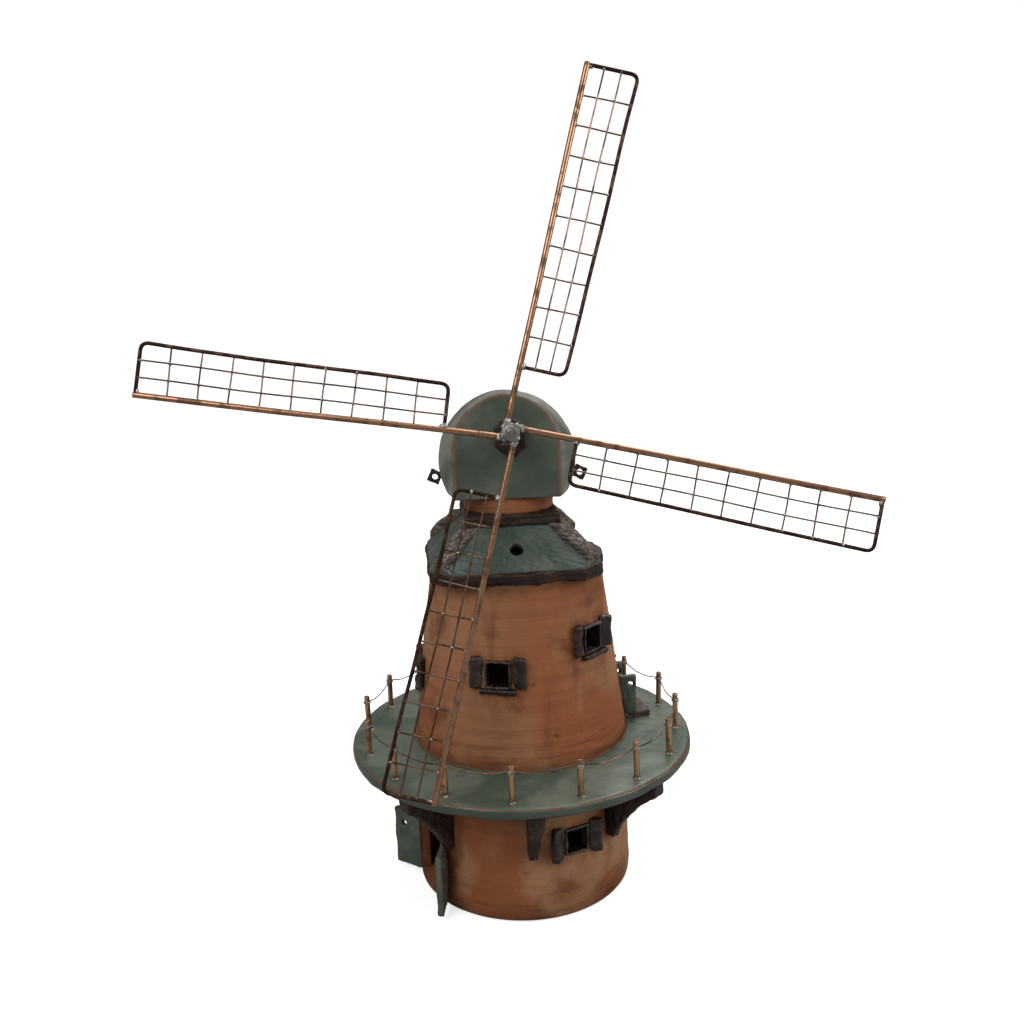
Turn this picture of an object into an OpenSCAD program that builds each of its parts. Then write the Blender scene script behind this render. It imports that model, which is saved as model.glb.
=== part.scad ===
// Model tower windmill, built by hand from slabs and rings of fired clay:
// a round drum and tower, a railed gallery, a four-sided skirt roof, a domed
// cap, and a wind rotor of tube and wire that turns on a sloping windshaft.
// The origin is the centre of the foot on the floor, +Z is up, and the sails
// face -Y. Directions round the tower count from -Y towards +X, in degrees.

/* [Drum] */
// Outer radius of the drum
drum_r = 82; // [76:1:88]
// Height of the drum, from the floor to the underside of the gallery
drum_h = 106; // [95:1:125]
// Thickness of the drum's wall
drum_wall = 7; // [5:0.5:9]
// Thickness of the floor slab
floor_t = 6; // [4:0.5:9]
// Radius of the rounded edge at the foot
foot_round = 5; // [2:0.5:5]

/* [Gallery] */
// Outer radius of the gallery slab
gallery_r = 130; // [118:1:131]
// Thickness of the gallery slab
gallery_t = 8.5; // [6:0.5:11]
// Number of brackets under the gallery
bracket_count = 8; // [6:1:8]
// Direction of the first bracket
bracket_turn = 4; // [0:1:8]
// Thickness of a bracket
bracket_t = 9; // [6:0.5:12]
// Height of a bracket where it meets the drum
bracket_drop = 53; // [40:1:58]
// Height of a bracket at its outer end
bracket_tip = 9; // [6:0.5:12]
// How far a bracket stops inside the gallery's edge
bracket_inset = 4; // [2:0.5:10]

/* [Railing] */
// Number of posts
post_count = 16; // [12:1:18]
// Direction of the first post
post_turn = 19; // [0:0.5:22]
// How far the posts stand inside the gallery's edge
post_inset = 11; // [9:0.5:16]
// Diameter of a post
post_d = 4.2; // [3:0.1:6]
// Height of a post above the gallery
post_h = 27; // [20:0.5:30]
// Diameter of the ring at a post's foot
post_foot_d = 7; // [6.5:0.1:9]
// Height of the ring at a post's foot
post_foot_h = 1.8; // [1:0.1:3]
// Diameter of the railing wire
rail_wire_d = 1.2; // [0.8:0.1:1.6]
// How far the wire is tied below a post's head
rail_wire_drop = 5; // [3:0.5:8]
// How far the wire sags between two posts
rail_wire_sag = 3.5; // [2:0.5:8]

/* [Tower] */
// Outer radius of the tower at the gallery
tower_r = 82; // [76:1:86]
// Outer radius of the tower under the skirt roof
tower_top_r = 64; // [61:0.5:66]
// Height of the tower's wall above the gallery
tower_h = 131.5; // [125:0.5:135]
// Thickness of the tower's wall
tower_wall = 7; // [5:0.5:8]
// How far the tower stands behind the middle of the gallery
tower_back = 5; // [0:0.5:6]

/* [Windows and shutters] */
// Number of windows that climb round the tower
window_count = 5; // [3:1:5]
// Direction of the lowest tower window
window_turn = -158; // [-165:1:-150]
// Turn from one tower window to the next
window_step = 73; // [70:1:75]
// Direction of the fourth window, which stands off the even steps
fourth_window_turn = 49; // [45:1:61]
// Height of the lowest tower window's sill above the gallery
window_sill_z = 26; // [22:0.5:30]
// Rise from one tower window to the next
window_rise = 16.5; // [12:0.5:17]
// Width of a window's opening
window_w = 19; // [14:0.5:20]
// Height of a window's opening
window_h = 20; // [16:0.5:22]
// Number of windows in the drum
drum_window_count = 3; // [1:1:3]
// Direction of the first drum window
drum_window_turn = 27; // [25:1:29]
// Height of the drum windows' sills above the floor
drum_window_z = 50; // [40:1:56]
// Thickness of a window's lining
lining_t = 1.3; // [1:0.1:2.5]
// How far a lining stands proud of the wall
lining_proud = 1.5; // [0.5:0.1:3]
// Width of a window shutter
shutter_w = 9; // [7:0.5:11]
// Thickness of a window shutter
shutter_t = 4.5; // [3:0.5:6]
// How much taller a shutter is than its window
shutter_extra = 4; // [2:0.5:6]
// Angle between a window shutter and the wall
shutter_swing = 38; // [20:1:80]

/* [Doors] */
// Direction of the drum's doorway
drum_door_turn = -64; // [-66:1:-62]
// Width of the drum's doorway
drum_door_w = 44; // [34:1:46]
// Height of the drum's doorway above the floor slab
drum_door_h = 47; // [36:1:52]
// Angle between the drum's door leaves and the wall
drum_door_swing = 50; // [35:1:90]
// Direction of the gallery's doorway
gallery_door_turn = 104; // [100:1:106]
// Width of the gallery's doorway
gallery_door_w = 22; // [18:1:28]
// Height of the gallery's doorway above its step
gallery_door_h = 37; // [32:1:44]
// Angle between the gallery's door leaves and the wall
gallery_door_swing = 86; // [45:1:95]
// Thickness of a door leaf
leaf_t = 4; // [3:0.5:5]
// How much shorter a drum door leaf is than its doorway
leaf_short = 1; // [0:0.5:4]
// How much shorter a gallery door leaf is than its doorway
gallery_leaf_short = 6; // [1:0.5:10]
// Width of the square peephole in a leaf
peephole_w = 4.5; // [3:0.5:6]
// Height of the step in the gallery's doorway
step_h = 5; // [3:0.5:8]
// How far the step reaches out from the inside of the tower's wall
step_reach = 27; // [18:1:30]
// How far the step reaches past each side of the doorway
step_ear = 5; // [2:0.5:8]

/* [Skirt roof] */
// Turn of the square skirt roof, seen from above
skirt_turn = 6; // [0:1:15]
// How far the roof and cap stand to the left of the tower
roof_left = 4; // [0:0.5:4]
// Half of the skirt's width at the eaves
skirt_base = 62; // [60:0.5:66]
// Half of the skirt's width at the collar
skirt_top = 33; // [31:0.5:36]
// Height from the eaves to the collar
skirt_h = 28; // [24:0.5:32]
// Radius to which the skirt's corners are cut back
skirt_corner_r = 77; // [74:1:82]
// Thickness of a skirt panel
panel_t = 6; // [4:0.5:7]
// Height of the eaves
eaves_h = 7.5; // [6:0.5:10]
// How far the eaves' round lip reaches beyond the top of the tower
eaves_lip = 1.5; // [0.5:0.5:3]
// Width of a ridge beam
ridge_w = 12; // [7:0.5:12]
// Height of a ridge beam above the panels
ridge_h = 4; // [2:0.5:6]
// Height of the collar beams
collar_h = 8; // [6:0.5:10]
// Diameter of the round hole in the front panel
skirt_hole_d = 9.5; // [6:0.5:14]

/* [Neck and cap] */
// Outer radius of the neck
neck_r = 33; // [31:0.5:34]
// Height of the neck
neck_h = 12; // [8:0.5:18]
// Thickness of the neck's wall
neck_wall = 6; // [4:0.5:7]
// Radius of the cap
cap_r = 50.5; // [47:0.5:54]
// Height of the cap
cap_h = 74; // [70:0.5:78]
// Thickness of the cap's shell
cap_wall = 5; // [4:0.5:6]
// Distance of the cap's flat front from its middle
cap_face = 34; // [31:0.5:36]
// Half of the width of the cap's flat front
cap_face_w = 37.5; // [35:0.5:39]
// Thickness of the cap's floor
cap_floor_t = 5; // [4:0.5:7]
// Side of a square lug for the tail braces
lug_w = 9; // [7:0.5:11]
// Thickness of a lug
lug_t = 3; // [2:0.5:4]
// Diameter of the hole in a lug
lug_hole_d = 4.7; // [3:0.1:5.5]

/* [Windshaft] */
// Height of the hub above the floor
hub_z = 355.5; // [352:0.5:366]
// Distance of the hub in front of the cap's middle
hub_front = 89; // [88:0.5:96]
// How far the windshaft lies to the right of the cap's middle
hub_right = 3.5; // [0:0.5:6]
// Slope of the windshaft
shaft_slope = 12.3; // [11:0.1:14]
// Diameter of the windshaft
shaft_d = 6; // [5:0.5:8]
// Gap round the windshaft in its boss
shaft_gap = 0.05; // [0.03:0.01:0.09]
// Length of the windshaft inside the cap
shaft_tail = 16; // [10:1:24]
// Radius of the six-sided boss that carries the windshaft
boss_r = 12; // [9:0.5:14]
// Distance from the boss to the hub
boss_gap = 14; // [6:0.5:24]
// Width of the hub block
hub_w = 12; // [11:0.5:15]
// Thickness of the hub block
hub_t = 10; // [8:0.5:14]
// Diameter of the hub's round bolt head
bolt_d = 7.4; // [6:0.2:9]
// Height of the hub's round bolt head
bolt_h = 3; // [2:0.5:5]

/* [Sails] */
// Angle of the upper sail, seen from the front
sail_angle_up = 75.6; // [70:0.1:80]
// Angle of the left sail
sail_angle_left = 171.6; // [162:0.1:176]
// Angle of the lower sail
sail_angle_down = 255.7; // [250:0.1:260]
// Angle of the right sail
sail_angle_right = -12.9; // [-20:0.1:-8]
// Distance from the hub to a sail's tip
sail_length = 245.5; // [225:0.5:246]
// Distance from the hub to a sail frame's inner end
frame_start = 43; // [36:0.5:60]
// Width of a sail frame at its inner end
frame_w_inner = 29.6; // [24:0.2:34]
// Width of a sail frame at its tip
frame_w_outer = 34.4; // [28:0.2:36]
// Diameter of a sail arm's tube
arm_d = 4; // [3:0.1:5]
// Thickness of a sail arm's tube wall
arm_wall = 0.7; // [0.4:0.1:1]
// How far an arm passes beside the middle of the hub
arm_offset = 3.5; // [0:0.1:4.5]
// Diameter of a frame's outer wire
frame_wire_d = 2.6; // [2:0.1:3.2]
// Diameter of a frame's lattice wires
lattice_wire_d = 1.2; // [1:0.1:1.6]
// Length of a frame's cut corner
frame_corner = 5; // [3:0.5:8]
// Number of cells across a sail
cells_across = 3; // [2:1:4]
// Number of cells along a sail
cells_along = 10; // [6:1:12]

/* [Hidden] */
$fn = 96;
deck_z = drum_h + gallery_t;
eaves_z = deck_z + tower_h;
panel_z = eaves_z + eaves_h;
collar_z = panel_z + skirt_h;
neck_z = collar_z + collar_h;
cap_z = neck_z + neck_h;
skirt_slope = atan(skirt_h / (skirt_base - skirt_top));
panel_run = panel_t / sin(skirt_slope);
cap_mid_z = cap_z + cap_h - cap_r;
cap_floor_r = sqrt(cap_r * cap_r - (cap_mid_z - cap_z) * (cap_mid_z - cap_z)) - cap_wall;
post_ring = gallery_r - post_inset;
wire_z = deck_z + post_h - rail_wire_drop;
step_z = deck_z + step_h;
walk_gap = 2;
door_room = post_ring - post_foot_d / 2 - walk_gap - tower_r - tower_back;
step_out = min(step_reach, tower_wall + door_room);
far = 400;
sail_angles = [sail_angle_up, sail_angle_left, sail_angle_down, sail_angle_right];

// Radius of the tower's outside at a height above the gallery.
function tower_radius(z) = tower_r + (tower_top_r - tower_r) * z / tower_h;

// Direction and sill height above the gallery of tower window i.
function window_dir(i) =
    i == 3 ? fourth_window_turn : window_turn + i * window_step;
function window_z(i) = window_sill_z + i * window_rise;

// Direction of drum window i: the doorway takes the fourth quarter.
function drum_window_dir(i) = drum_window_turn + i * 90;

// Angle that half of a width takes up on a round wall.
function half_angle(width, radius) = asin(width / 2 / radius);

// ---- helpers ----

// Places children on a direction round the axis, with +X pointing outwards.
module facing(direction) rotate(direction - 90) children();

module about_tower() translate([0, tower_back, 0]) children();

module about_roof() translate([-roof_left, 0, 0]) children();

// The tower's full outer cone, used to cut pieces that sit against it.
module tower_cone() translate([0, 0, deck_z])
    cylinder(h = tower_h, r1 = tower_r, r2 = tower_top_r);

// A slot straight out through a round wall.
module wall_slot(radius, wall, width, height, z)
    translate([radius - wall - 4, -width / 2, z]) cube([wall + 14, width, height]);

// A rectangle with round ends, standing on its hinge line.
module rounded_slab(width, thick, height) linear_extrude(height) {
    translate([0, -thick / 2]) square([width - thick / 2, thick]);
    translate([width - thick / 2, 0]) circle(d = thick);
}

// A slab hinged on the wall's surface at one side of an opening.
// side is 1 or -1, and swing is the angle between the slab and the wall.
module hinged_slab(radius, direction, opening, side, swing, z)
    facing(direction + side * half_angle(opening, radius))
        translate([radius - 1, 0, z]) rotate(side * (90 - swing)) children();

// A radial leaf with a square peephole, its hinge line on the Z axis.
module door_leaf(width, height) difference() {
    translate([-1, -leaf_t / 2, 0]) cube([width + 1, leaf_t, height]);
    translate([width * 0.55, -leaf_t, height * 0.7])
        cube([peephole_w, 2 * leaf_t, peephole_w]);
}

// ---- drum ----

module drum_floor() color("sienna")
    cylinder(h = floor_t, r = drum_r - drum_wall);

module drum_wall() color("sienna") difference() {
    rotate_extrude() difference() {
        translate([drum_r - drum_wall, 0]) square([drum_wall, drum_h]);
        translate([drum_r - foot_round, 0]) difference() {
            square(foot_round);
            translate([0, foot_round]) circle(foot_round);
        }
    }
    facing(drum_door_turn)
        wall_slot(drum_r, drum_wall, drum_door_w, drum_door_h, floor_t);
    for (i = [0 : drum_window_count - 1]) facing(drum_window_dir(i))
        wall_slot(drum_r, drum_wall, window_w, window_h, drum_window_z);
}

// A rectangular tube that lines a window through its wall.
module window_lining(radius, wall, z) difference() {
    translate([radius - wall, -window_w / 2, z])
        cube([wall + lining_proud, window_w, window_h]);
    translate([radius - wall - 1, -window_w / 2 + lining_t, z + lining_t])
        cube([wall + lining_proud + 2, window_w - 2 * lining_t, window_h - 2 * lining_t]);
}

module drum_window_linings() color("saddlebrown")
    for (i = [0 : drum_window_count - 1]) facing(drum_window_dir(i))
        window_lining(drum_r, drum_wall, drum_window_z);

module drum_shutters() color("saddlebrown") difference() {
    for (i = [0 : drum_window_count - 1], side = [-1, 1])
        hinged_slab(drum_r, drum_window_dir(i), window_w + shutter_t + 1, side,
                shutter_swing, drum_window_z - shutter_extra / 2)
            rounded_slab(shutter_w, shutter_t, window_h + shutter_extra);
    cylinder(h = drum_h, r = drum_r);
}

module drum_door_leaf(side) color("darkslategray") difference() {
    hinged_slab(drum_r, drum_door_turn, drum_door_w + leaf_t, side,
            drum_door_swing, floor_t)
        door_leaf(drum_door_w / 2 + 2, drum_door_h - leaf_short);
    cylinder(h = drum_h, r = drum_r);
}

// ---- gallery ----

module gallery_deck() color("darkseagreen")
    translate([0, 0, drum_h]) cylinder(h = gallery_t, r = gallery_r);

// Side view of a bracket: a knee with a hollowed underside. The hollow is an
// arc through the two ends of the lower edge.
module bracket_outline() {
    reach = gallery_r - bracket_inset;
    toe = 6;
    low = [drum_r + toe, -bracket_drop];
    high = [reach, -bracket_tip];
    chord = norm(high - low);
    hollow = 4;
    arc_r = (chord * chord / 4 + hollow * hollow) / (2 * hollow);
    along = (high - low) / chord;
    mid = (low + high) / 2 + [along.y, -along.x] * (arc_r - hollow);
    difference() {
        polygon([[drum_r - 2, 0], [reach, 0], high, low, [drum_r - 2, -bracket_drop]]);
        translate(mid) circle(arc_r);
    }
}

module gallery_brackets() color("saddlebrown") difference() {
    for (i = [0 : bracket_count - 1])
        facing(bracket_turn + i * 360 / bracket_count)
            translate([0, 0, drum_h]) rotate([90, 0, 0])
                linear_extrude(bracket_t, center = true) bracket_outline();
    cylinder(h = drum_h, r = drum_r);
}

// ---- railing ----

module at_posts()
    for (i = [0 : post_count - 1]) facing(post_turn + i * 360 / post_count)
        translate([post_ring, 0, 0]) children();

module railing_posts() color("peru") at_posts() {
    translate([0, 0, deck_z]) cylinder(h = post_h, d = post_d);
    translate([0, 0, deck_z]) cylinder(h = post_foot_h, d = post_foot_d);
}

// One wire, tied round each post and sagging in an arc to the next.
module railing_wire() {
    half_step = 180 / post_count;
    half_span = post_ring * sin(half_step) - post_d / 2 - rail_wire_d / 2;
    arc_r = (half_span * half_span + rail_wire_sag * rail_wire_sag)
        / (2 * rail_wire_sag);
    half_arc = asin(half_span / arc_r);
    color("peru") {
        at_posts() translate([0, 0, wire_z - rail_wire_d]) difference() {
            cylinder(h = 2 * rail_wire_d, d = post_d + 2 * rail_wire_d);
            translate([0, 0, -1]) cylinder(h = 2 * rail_wire_d + 2, d = post_d);
        }
        for (i = [0 : post_count - 1])
            facing(post_turn + (i + 0.5) * 360 / post_count)
                translate([post_ring * cos(half_step), 0, wire_z - rail_wire_sag + arc_r])
                    rotate([90, 0, 90]) rotate(-90 - half_arc)
                        rotate_extrude(angle = 2 * half_arc)
                            translate([arc_r, 0]) circle(d = rail_wire_d, $fn = 16);
    }
}

// ---- tower ----

module tower_wall() color("sienna") about_tower() difference() {
    tower_cone();
    translate([0, 0, deck_z - 0.01]) cylinder(h = tower_h + 0.02,
        r1 = tower_r - tower_wall, r2 = tower_top_r - tower_wall);
    for (i = [0 : window_count - 1]) facing(window_dir(i))
        wall_slot(tower_radius(window_z(i) + window_h / 2), tower_wall,
            window_w, window_h, deck_z + window_z(i));
    facing(gallery_door_turn) wall_slot(tower_radius(step_h + gallery_door_h / 2),
        tower_wall, gallery_door_w, gallery_door_h + step_h, deck_z);
}

module tower_window_linings() color("saddlebrown") about_tower()
    for (i = [0 : window_count - 1]) facing(window_dir(i))
        window_lining(tower_radius(window_z(i) + window_h / 2), tower_wall,
            deck_z + window_z(i));

module tower_window_sills() color("saddlebrown") about_tower() difference() {
    for (i = [0 : window_count - 1]) facing(window_dir(i))
        translate([tower_radius(window_z(i)), 0, deck_z + window_z(i)])
            rotate([90, 0, 0])
                cylinder(h = window_w + 6, d = 8, center = true);
    tower_cone();
    for (i = [0 : window_count - 1]) facing(window_dir(i))
        translate([tower_radius(window_z(i)) - 10, -window_w, deck_z + window_z(i)])
            cube([20, 2 * window_w, 10]);
}

module tower_shutters() color("saddlebrown") about_tower() difference() {
    for (i = [0 : window_count - 1], side = [-1, 1])
        hinged_slab(tower_radius(window_z(i) + window_h / 2), window_dir(i),
                window_w + shutter_t + 1, side, shutter_swing,
                deck_z + window_z(i) + 0.5)
            rounded_slab(shutter_w, shutter_t, window_h + shutter_extra / 2);
    tower_cone();
}

module gallery_door_leaf(side) color("darkslategray") about_tower() difference() {
    hinged_slab(tower_radius(step_h + gallery_door_h / 2), gallery_door_turn,
            gallery_door_w + leaf_t, side, gallery_door_swing, step_z)
        door_leaf(min(gallery_door_w / 2 + 2, door_room),
            gallery_door_h - gallery_leaf_short);
    tower_cone();
}

// A block in front of the doorway, with a tongue that fills the doorway's foot.
module gallery_door_step() color("dimgray") about_tower() {
    wide = gallery_door_w / 2 + step_ear;
    facing(gallery_door_turn) translate([tower_r - tower_wall, 0, deck_z]) {
        translate([0, -gallery_door_w / 2, 0])
            cube([tower_wall + 2, gallery_door_w, step_h]);
    }
    difference() {
        facing(gallery_door_turn) translate([tower_r - tower_wall, 0, deck_z])
            linear_extrude(step_h) polygon([[2, -wide], [step_out, 2 - wide],
                [step_out, wide - 2], [2, wide]]);
        tower_cone();
    }
}

// ---- skirt roof ----

module about_skirt() about_roof() about_tower() rotate(skirt_turn) children();

// The eaves carry the skirt's corners, and between them a lip covers the wall.
module skirt_eaves() color("saddlebrown") difference() {
    translate([0, 0, eaves_z]) linear_extrude(eaves_h) {
        about_skirt() intersection() {
            square(2 * skirt_base, center = true);
            circle(skirt_corner_r);
        }
        about_tower() circle(tower_top_r + eaves_lip);
    }
    about_tower() translate([0, 0, eaves_z - 1])
        cylinder(h = eaves_h + 2, r = tower_top_r - tower_wall - roof_left);
}

// A quarter of the skirt between two ridges, filled down to a given run.
module skirt_quarter(side, run) about_skirt() rotate(side * 90) intersection() {
    rotate([90, 0, 90]) linear_extrude(far, center = true) polygon([
        [-skirt_base, panel_z], [-skirt_top, collar_z],
        [-skirt_top + run, collar_z], [-skirt_base + run, panel_z]]);
    linear_extrude(far) polygon([[0, 0], [-far, -far], [far, -far]]);
    linear_extrude(far) circle(skirt_corner_r);
}

module skirt_panel(side) color("darkseagreen") skirt_quarter(side, panel_run);

module skirt_panel_front() color("darkseagreen") difference() {
    skirt_quarter(0, panel_run);
    about_skirt() translate([0, -(skirt_base + skirt_top) / 2, panel_z + skirt_h / 2])
        rotate([90 - skirt_slope, 0, 0]) rotate([180, 0, 0])
            cylinder(h = 3 * panel_t, d = skirt_hole_d, center = true);
}

// All that lies under one roof plane, moved outwards by a distance.
module under_roof_plane(side, out) about_skirt() rotate(side * 90) {
    move = out / sin(skirt_slope);
    lead = (skirt_base - skirt_top) / skirt_h;
    rotate([90, 0, 90]) linear_extrude(far, center = true) polygon([
        [-skirt_base - move - lead, panel_z - 1], [-skirt_top - move + lead, collar_z + 1],
        [far, collar_z + 1], [far, panel_z - 1]]);
}

// Each corner beam lies on two panels, and both its upper faces follow them.
module skirt_ridges() color("saddlebrown") for (i = [0 : 3]) difference() {
    intersection() {
        about_skirt() rotate(i * 90 - 45) translate([0, -ridge_w / 2, panel_z])
            cube([skirt_corner_r, ridge_w, skirt_h]);
        about_skirt() cylinder(h = collar_z, r = skirt_corner_r);
        under_roof_plane(i, ridge_h);
        under_roof_plane(i + 1, ridge_h);
    }
    intersection() {
        under_roof_plane(i, 0);
        under_roof_plane(i + 1, 0);
    }
}

module skirt_collar() color("saddlebrown") difference() {
    about_skirt() translate([-skirt_top - 1, -skirt_top - 1, collar_z])
        cube([2 * skirt_top + 2, 2 * skirt_top + 2, collar_h]);
    about_skirt() translate([0, 0, collar_z - 1])
        cylinder(h = collar_h + 2, r = neck_r - neck_wall);
}

// ---- neck and cap ----

module about_cap() about_roof() about_tower() children();

module neck() color("sienna") about_cap() translate([0, 0, neck_z]) difference() {
    cylinder(h = neck_h, r = neck_r);
    translate([0, 0, -1]) cylinder(h = neck_h + 2, r = neck_r - neck_wall);
}

// An upright arch with a round head, its top level with the cap's.
module cap_arch(inset, thick) {
    width = cap_face_w - inset;
    rotate([90, 0, 0]) linear_extrude(thick) {
        translate([0, cap_z + cap_h - cap_face_w]) circle(width);
        translate([-width, cap_z]) square([2 * width, cap_h - cap_face_w]);
    }
}

// The cap's form: a ball blended forwards into the arch of its flat front.
module cap_form(inset) hull() {
    translate([0, -cap_face, 0]) cap_arch(inset, 0.1);
    translate([0, 0, cap_mid_z]) sphere(cap_r - inset, $fn = 48);
}

module above(z) translate([-far, -far, z]) cube([2 * far, 2 * far, far]);

module behind(y) translate([-far, y, 0]) cube([2 * far, far, 2 * far]);

module cap_shell() color("darkseagreen") about_cap() difference() {
    intersection() {
        cap_form(0);
        above(cap_z);
        behind(-cap_face);
    }
    intersection() {
        cap_form(cap_wall);
        behind(-cap_face + cap_wall);
    }
    translate([0, -cap_face + cap_wall, 0]) cap_arch(cap_wall, 2 * cap_wall);
    translate([0, 0, cap_z - 1]) linear_extrude(cap_floor_t + 1) cap_floor_outline();
}

// Plan of the cap's floor, which fills the shell's mouth behind the flat front.
module cap_floor_outline() {
    half = cap_face_w - cap_wall;
    front = cap_wall - cap_face;
    intersection() {
        circle(cap_floor_r);
        translate([-far, front]) square(2 * far);
    }
    translate([-half, front]) square([2 * half, -front]);
}

module cap_floor() color("darkseagreen") about_cap() translate([0, 0, cap_z])
    linear_extrude(cap_floor_t) difference() {
        cap_floor_outline();
        circle(neck_r - neck_wall);
    }

// Places children on the windshaft: the hub's middle is the origin, +Z points
// out of the rotor's front and +Y up along its plane.
module on_shaft() about_cap()
    translate([hub_right, -hub_front, hub_z]) rotate([90 - shaft_slope, 0, 0]) children();

module shaft_hole(gap) on_shaft()
    translate([0, 0, -far]) cylinder(h = far, r = shaft_d / 2 + gap);

module cap_front() color("darkseagreen") difference() {
    about_cap() translate([0, -cap_face + cap_wall, 0]) cap_arch(cap_wall, cap_wall);
    shaft_hole(1);
}

module cap_lug(side) color("saddlebrown") about_cap() difference() {
    translate([side * (cap_r + lug_w * 0.35), 0, cap_z + 12]) rotate([90, 25, 0])
        difference() {
            cube([lug_w, lug_w, lug_t], center = true);
            cylinder(h = 2 * lug_t, d = lug_hole_d, center = true);
        }
    cap_form(0);
}

module shaft_boss() color("saddlebrown") difference() {
    on_shaft() translate([0, 0, -hub_front]) rotate(30)
        cylinder(h = hub_front - hub_t / 2 - boss_gap, r = boss_r, $fn = 6);
    about_cap() behind(-cap_face);
    shaft_hole(shaft_gap);
}

// ---- rotor ----

module windshaft() color("dimgray") on_shaft() {
    length = (hub_front - cap_face + cap_wall) / cos(shaft_slope) + shaft_tail;
    translate([0, 0, -length]) cylinder(h = length - hub_t / 2, d = shaft_d);
}

module hub_form() rotate(sail_angle_up) translate([-hub_w / 2, -hub_w / 2, -hub_t / 2])
    cube([hub_w, hub_w, hub_t]);

module hub_block() color("silver") on_shaft() hub_form();

module hub_bolt() color("silver") on_shaft()
    translate([0, 0, hub_t / 2]) cylinder(h = bolt_h, d = bolt_d);

// Places children on sail i: +X runs out along the arm, the frame lies at -Y.
module on_sail(i) on_shaft() rotate(sail_angles[i]) translate([0, arm_offset, 0])
    children();

module sail_arm(i) color("peru") difference() {
    on_sail(i) rotate([0, 90, 0]) cylinder(h = sail_length, d = arm_d);
    on_sail(i) rotate([0, 90, 0]) translate([0, 0, -1])
        cylinder(h = sail_length + 2, d = arm_d - 2 * arm_wall);
    on_shaft() hub_form();
}

// Width of a frame at a distance from the hub.
function frame_width(x) = frame_w_inner + (frame_w_outer - frame_w_inner)
    * (x - frame_start) / (sail_length - frame_start);

// The flat outline of a wire between two points in the sail's plane.
module strip(from, to, width) {
    run = to - from;
    translate(from) rotate(atan2(run.y, run.x)) translate([-width / 5, -width / 2])
        square([norm(run) + width / 2.5, width]);
}

// The bent outer wire, from the arm round both cut corners back to the arm.
module frame_outline() {
    tip = sail_length - frame_wire_d / 2;
    corners = [[frame_start, 0],
        [frame_start, frame_corner - frame_w_inner],
        [frame_start + frame_corner, -frame_width(frame_start + frame_corner)],
        [tip - frame_corner, -frame_width(tip - frame_corner)],
        [tip, frame_corner - frame_w_outer],
        [tip, 0]];
    for (k = [0 : len(corners) - 2]) strip(corners[k], corners[k + 1], frame_wire_d);
}

module lattice_outline() {
    tip = sail_length - frame_wire_d / 2;
    for (k = [1 : cells_across - 1]) strip(
        [frame_start, -frame_w_inner * k / cells_across],
        [tip, -frame_w_outer * k / cells_across], lattice_wire_d);
    for (k = [1 : cells_along - 1]) {
        x = frame_start + (tip - frame_start) * k / cells_along;
        strip([x, 0], [x, -frame_width(x)], lattice_wire_d);
    }
}

module sail_frame(i) color("peru") on_sail(i) difference() {
    union() {
        linear_extrude(frame_wire_d, center = true) frame_outline();
        linear_extrude(lattice_wire_d, center = true) lattice_outline();
    }
    rotate([0, 90, 0]) cylinder(h = sail_length + 1, d = arm_d);
}

drum_floor();
drum_wall();
drum_window_linings();
drum_shutters();
drum_door_leaf(-1);  // drum_door_leaf_left
drum_door_leaf(1);  // drum_door_leaf_right
gallery_deck();
gallery_brackets();
railing_posts();
railing_wire();
tower_wall();
tower_window_linings();
tower_window_sills();
tower_shutters();
gallery_door_leaf(-1);  // gallery_door_leaf_near
gallery_door_leaf(1);  // gallery_door_leaf_far
gallery_door_step();
skirt_eaves();
skirt_panel_front();
skirt_panel(1);  // skirt_panel_right
skirt_panel(2);  // skirt_panel_back
skirt_panel(3);  // skirt_panel_left
skirt_ridges();
skirt_collar();
neck();
cap_floor();
cap_shell();
cap_front();
cap_lug(-1);  // cap_lug_left
cap_lug(1);  // cap_lug_right
shaft_boss();
windshaft();
hub_block();
hub_bolt();
sail_arm(0);  // sail_arm_up
sail_arm(1);  // sail_arm_left
sail_arm(2);  // sail_arm_down
sail_arm(3);  // sail_arm_right
sail_frame(0);  // sail_frame_up
sail_frame(1);  // sail_frame_left
sail_frame(2);  // sail_frame_down
sail_frame(3);  // sail_frame_right
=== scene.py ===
"""Looks of a hand-built clay windmill whose rotor is soldered from copper tube and wire.

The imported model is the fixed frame. Thrown walls, the gallery, wires and metal parts are
new surfaces worked out from formulas, and slab-built parts are softened copies of the
frame's own solids, so that their edges look pressed by hand. Lengths in this file are in
millimetres, and become metres when a mesh is made. Directions round the tower are in
degrees from -Y towards +X.
"""

from __future__ import annotations

import logging
import math
from collections.abc import Callable, Iterable, Sequence
from dataclasses import dataclass, field
from enum import Enum

import bmesh
import bpy
import numpy as np
from mathutils import Matrix, Vector


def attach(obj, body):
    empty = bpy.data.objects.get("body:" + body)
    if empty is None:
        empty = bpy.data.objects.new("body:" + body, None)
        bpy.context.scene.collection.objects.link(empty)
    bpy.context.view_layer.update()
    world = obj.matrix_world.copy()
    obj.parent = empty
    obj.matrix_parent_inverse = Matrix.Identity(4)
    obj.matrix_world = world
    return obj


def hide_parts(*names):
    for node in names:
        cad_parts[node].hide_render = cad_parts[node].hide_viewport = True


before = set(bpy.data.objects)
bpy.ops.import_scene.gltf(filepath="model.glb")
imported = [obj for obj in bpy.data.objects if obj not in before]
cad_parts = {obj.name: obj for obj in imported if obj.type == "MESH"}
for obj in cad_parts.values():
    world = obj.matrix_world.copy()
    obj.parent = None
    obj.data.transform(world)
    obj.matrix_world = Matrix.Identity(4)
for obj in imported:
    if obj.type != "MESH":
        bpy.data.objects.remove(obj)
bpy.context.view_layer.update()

MM = 0.001
log = logging.getLogger("windmill")
Colour = tuple[float, float, float]


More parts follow.
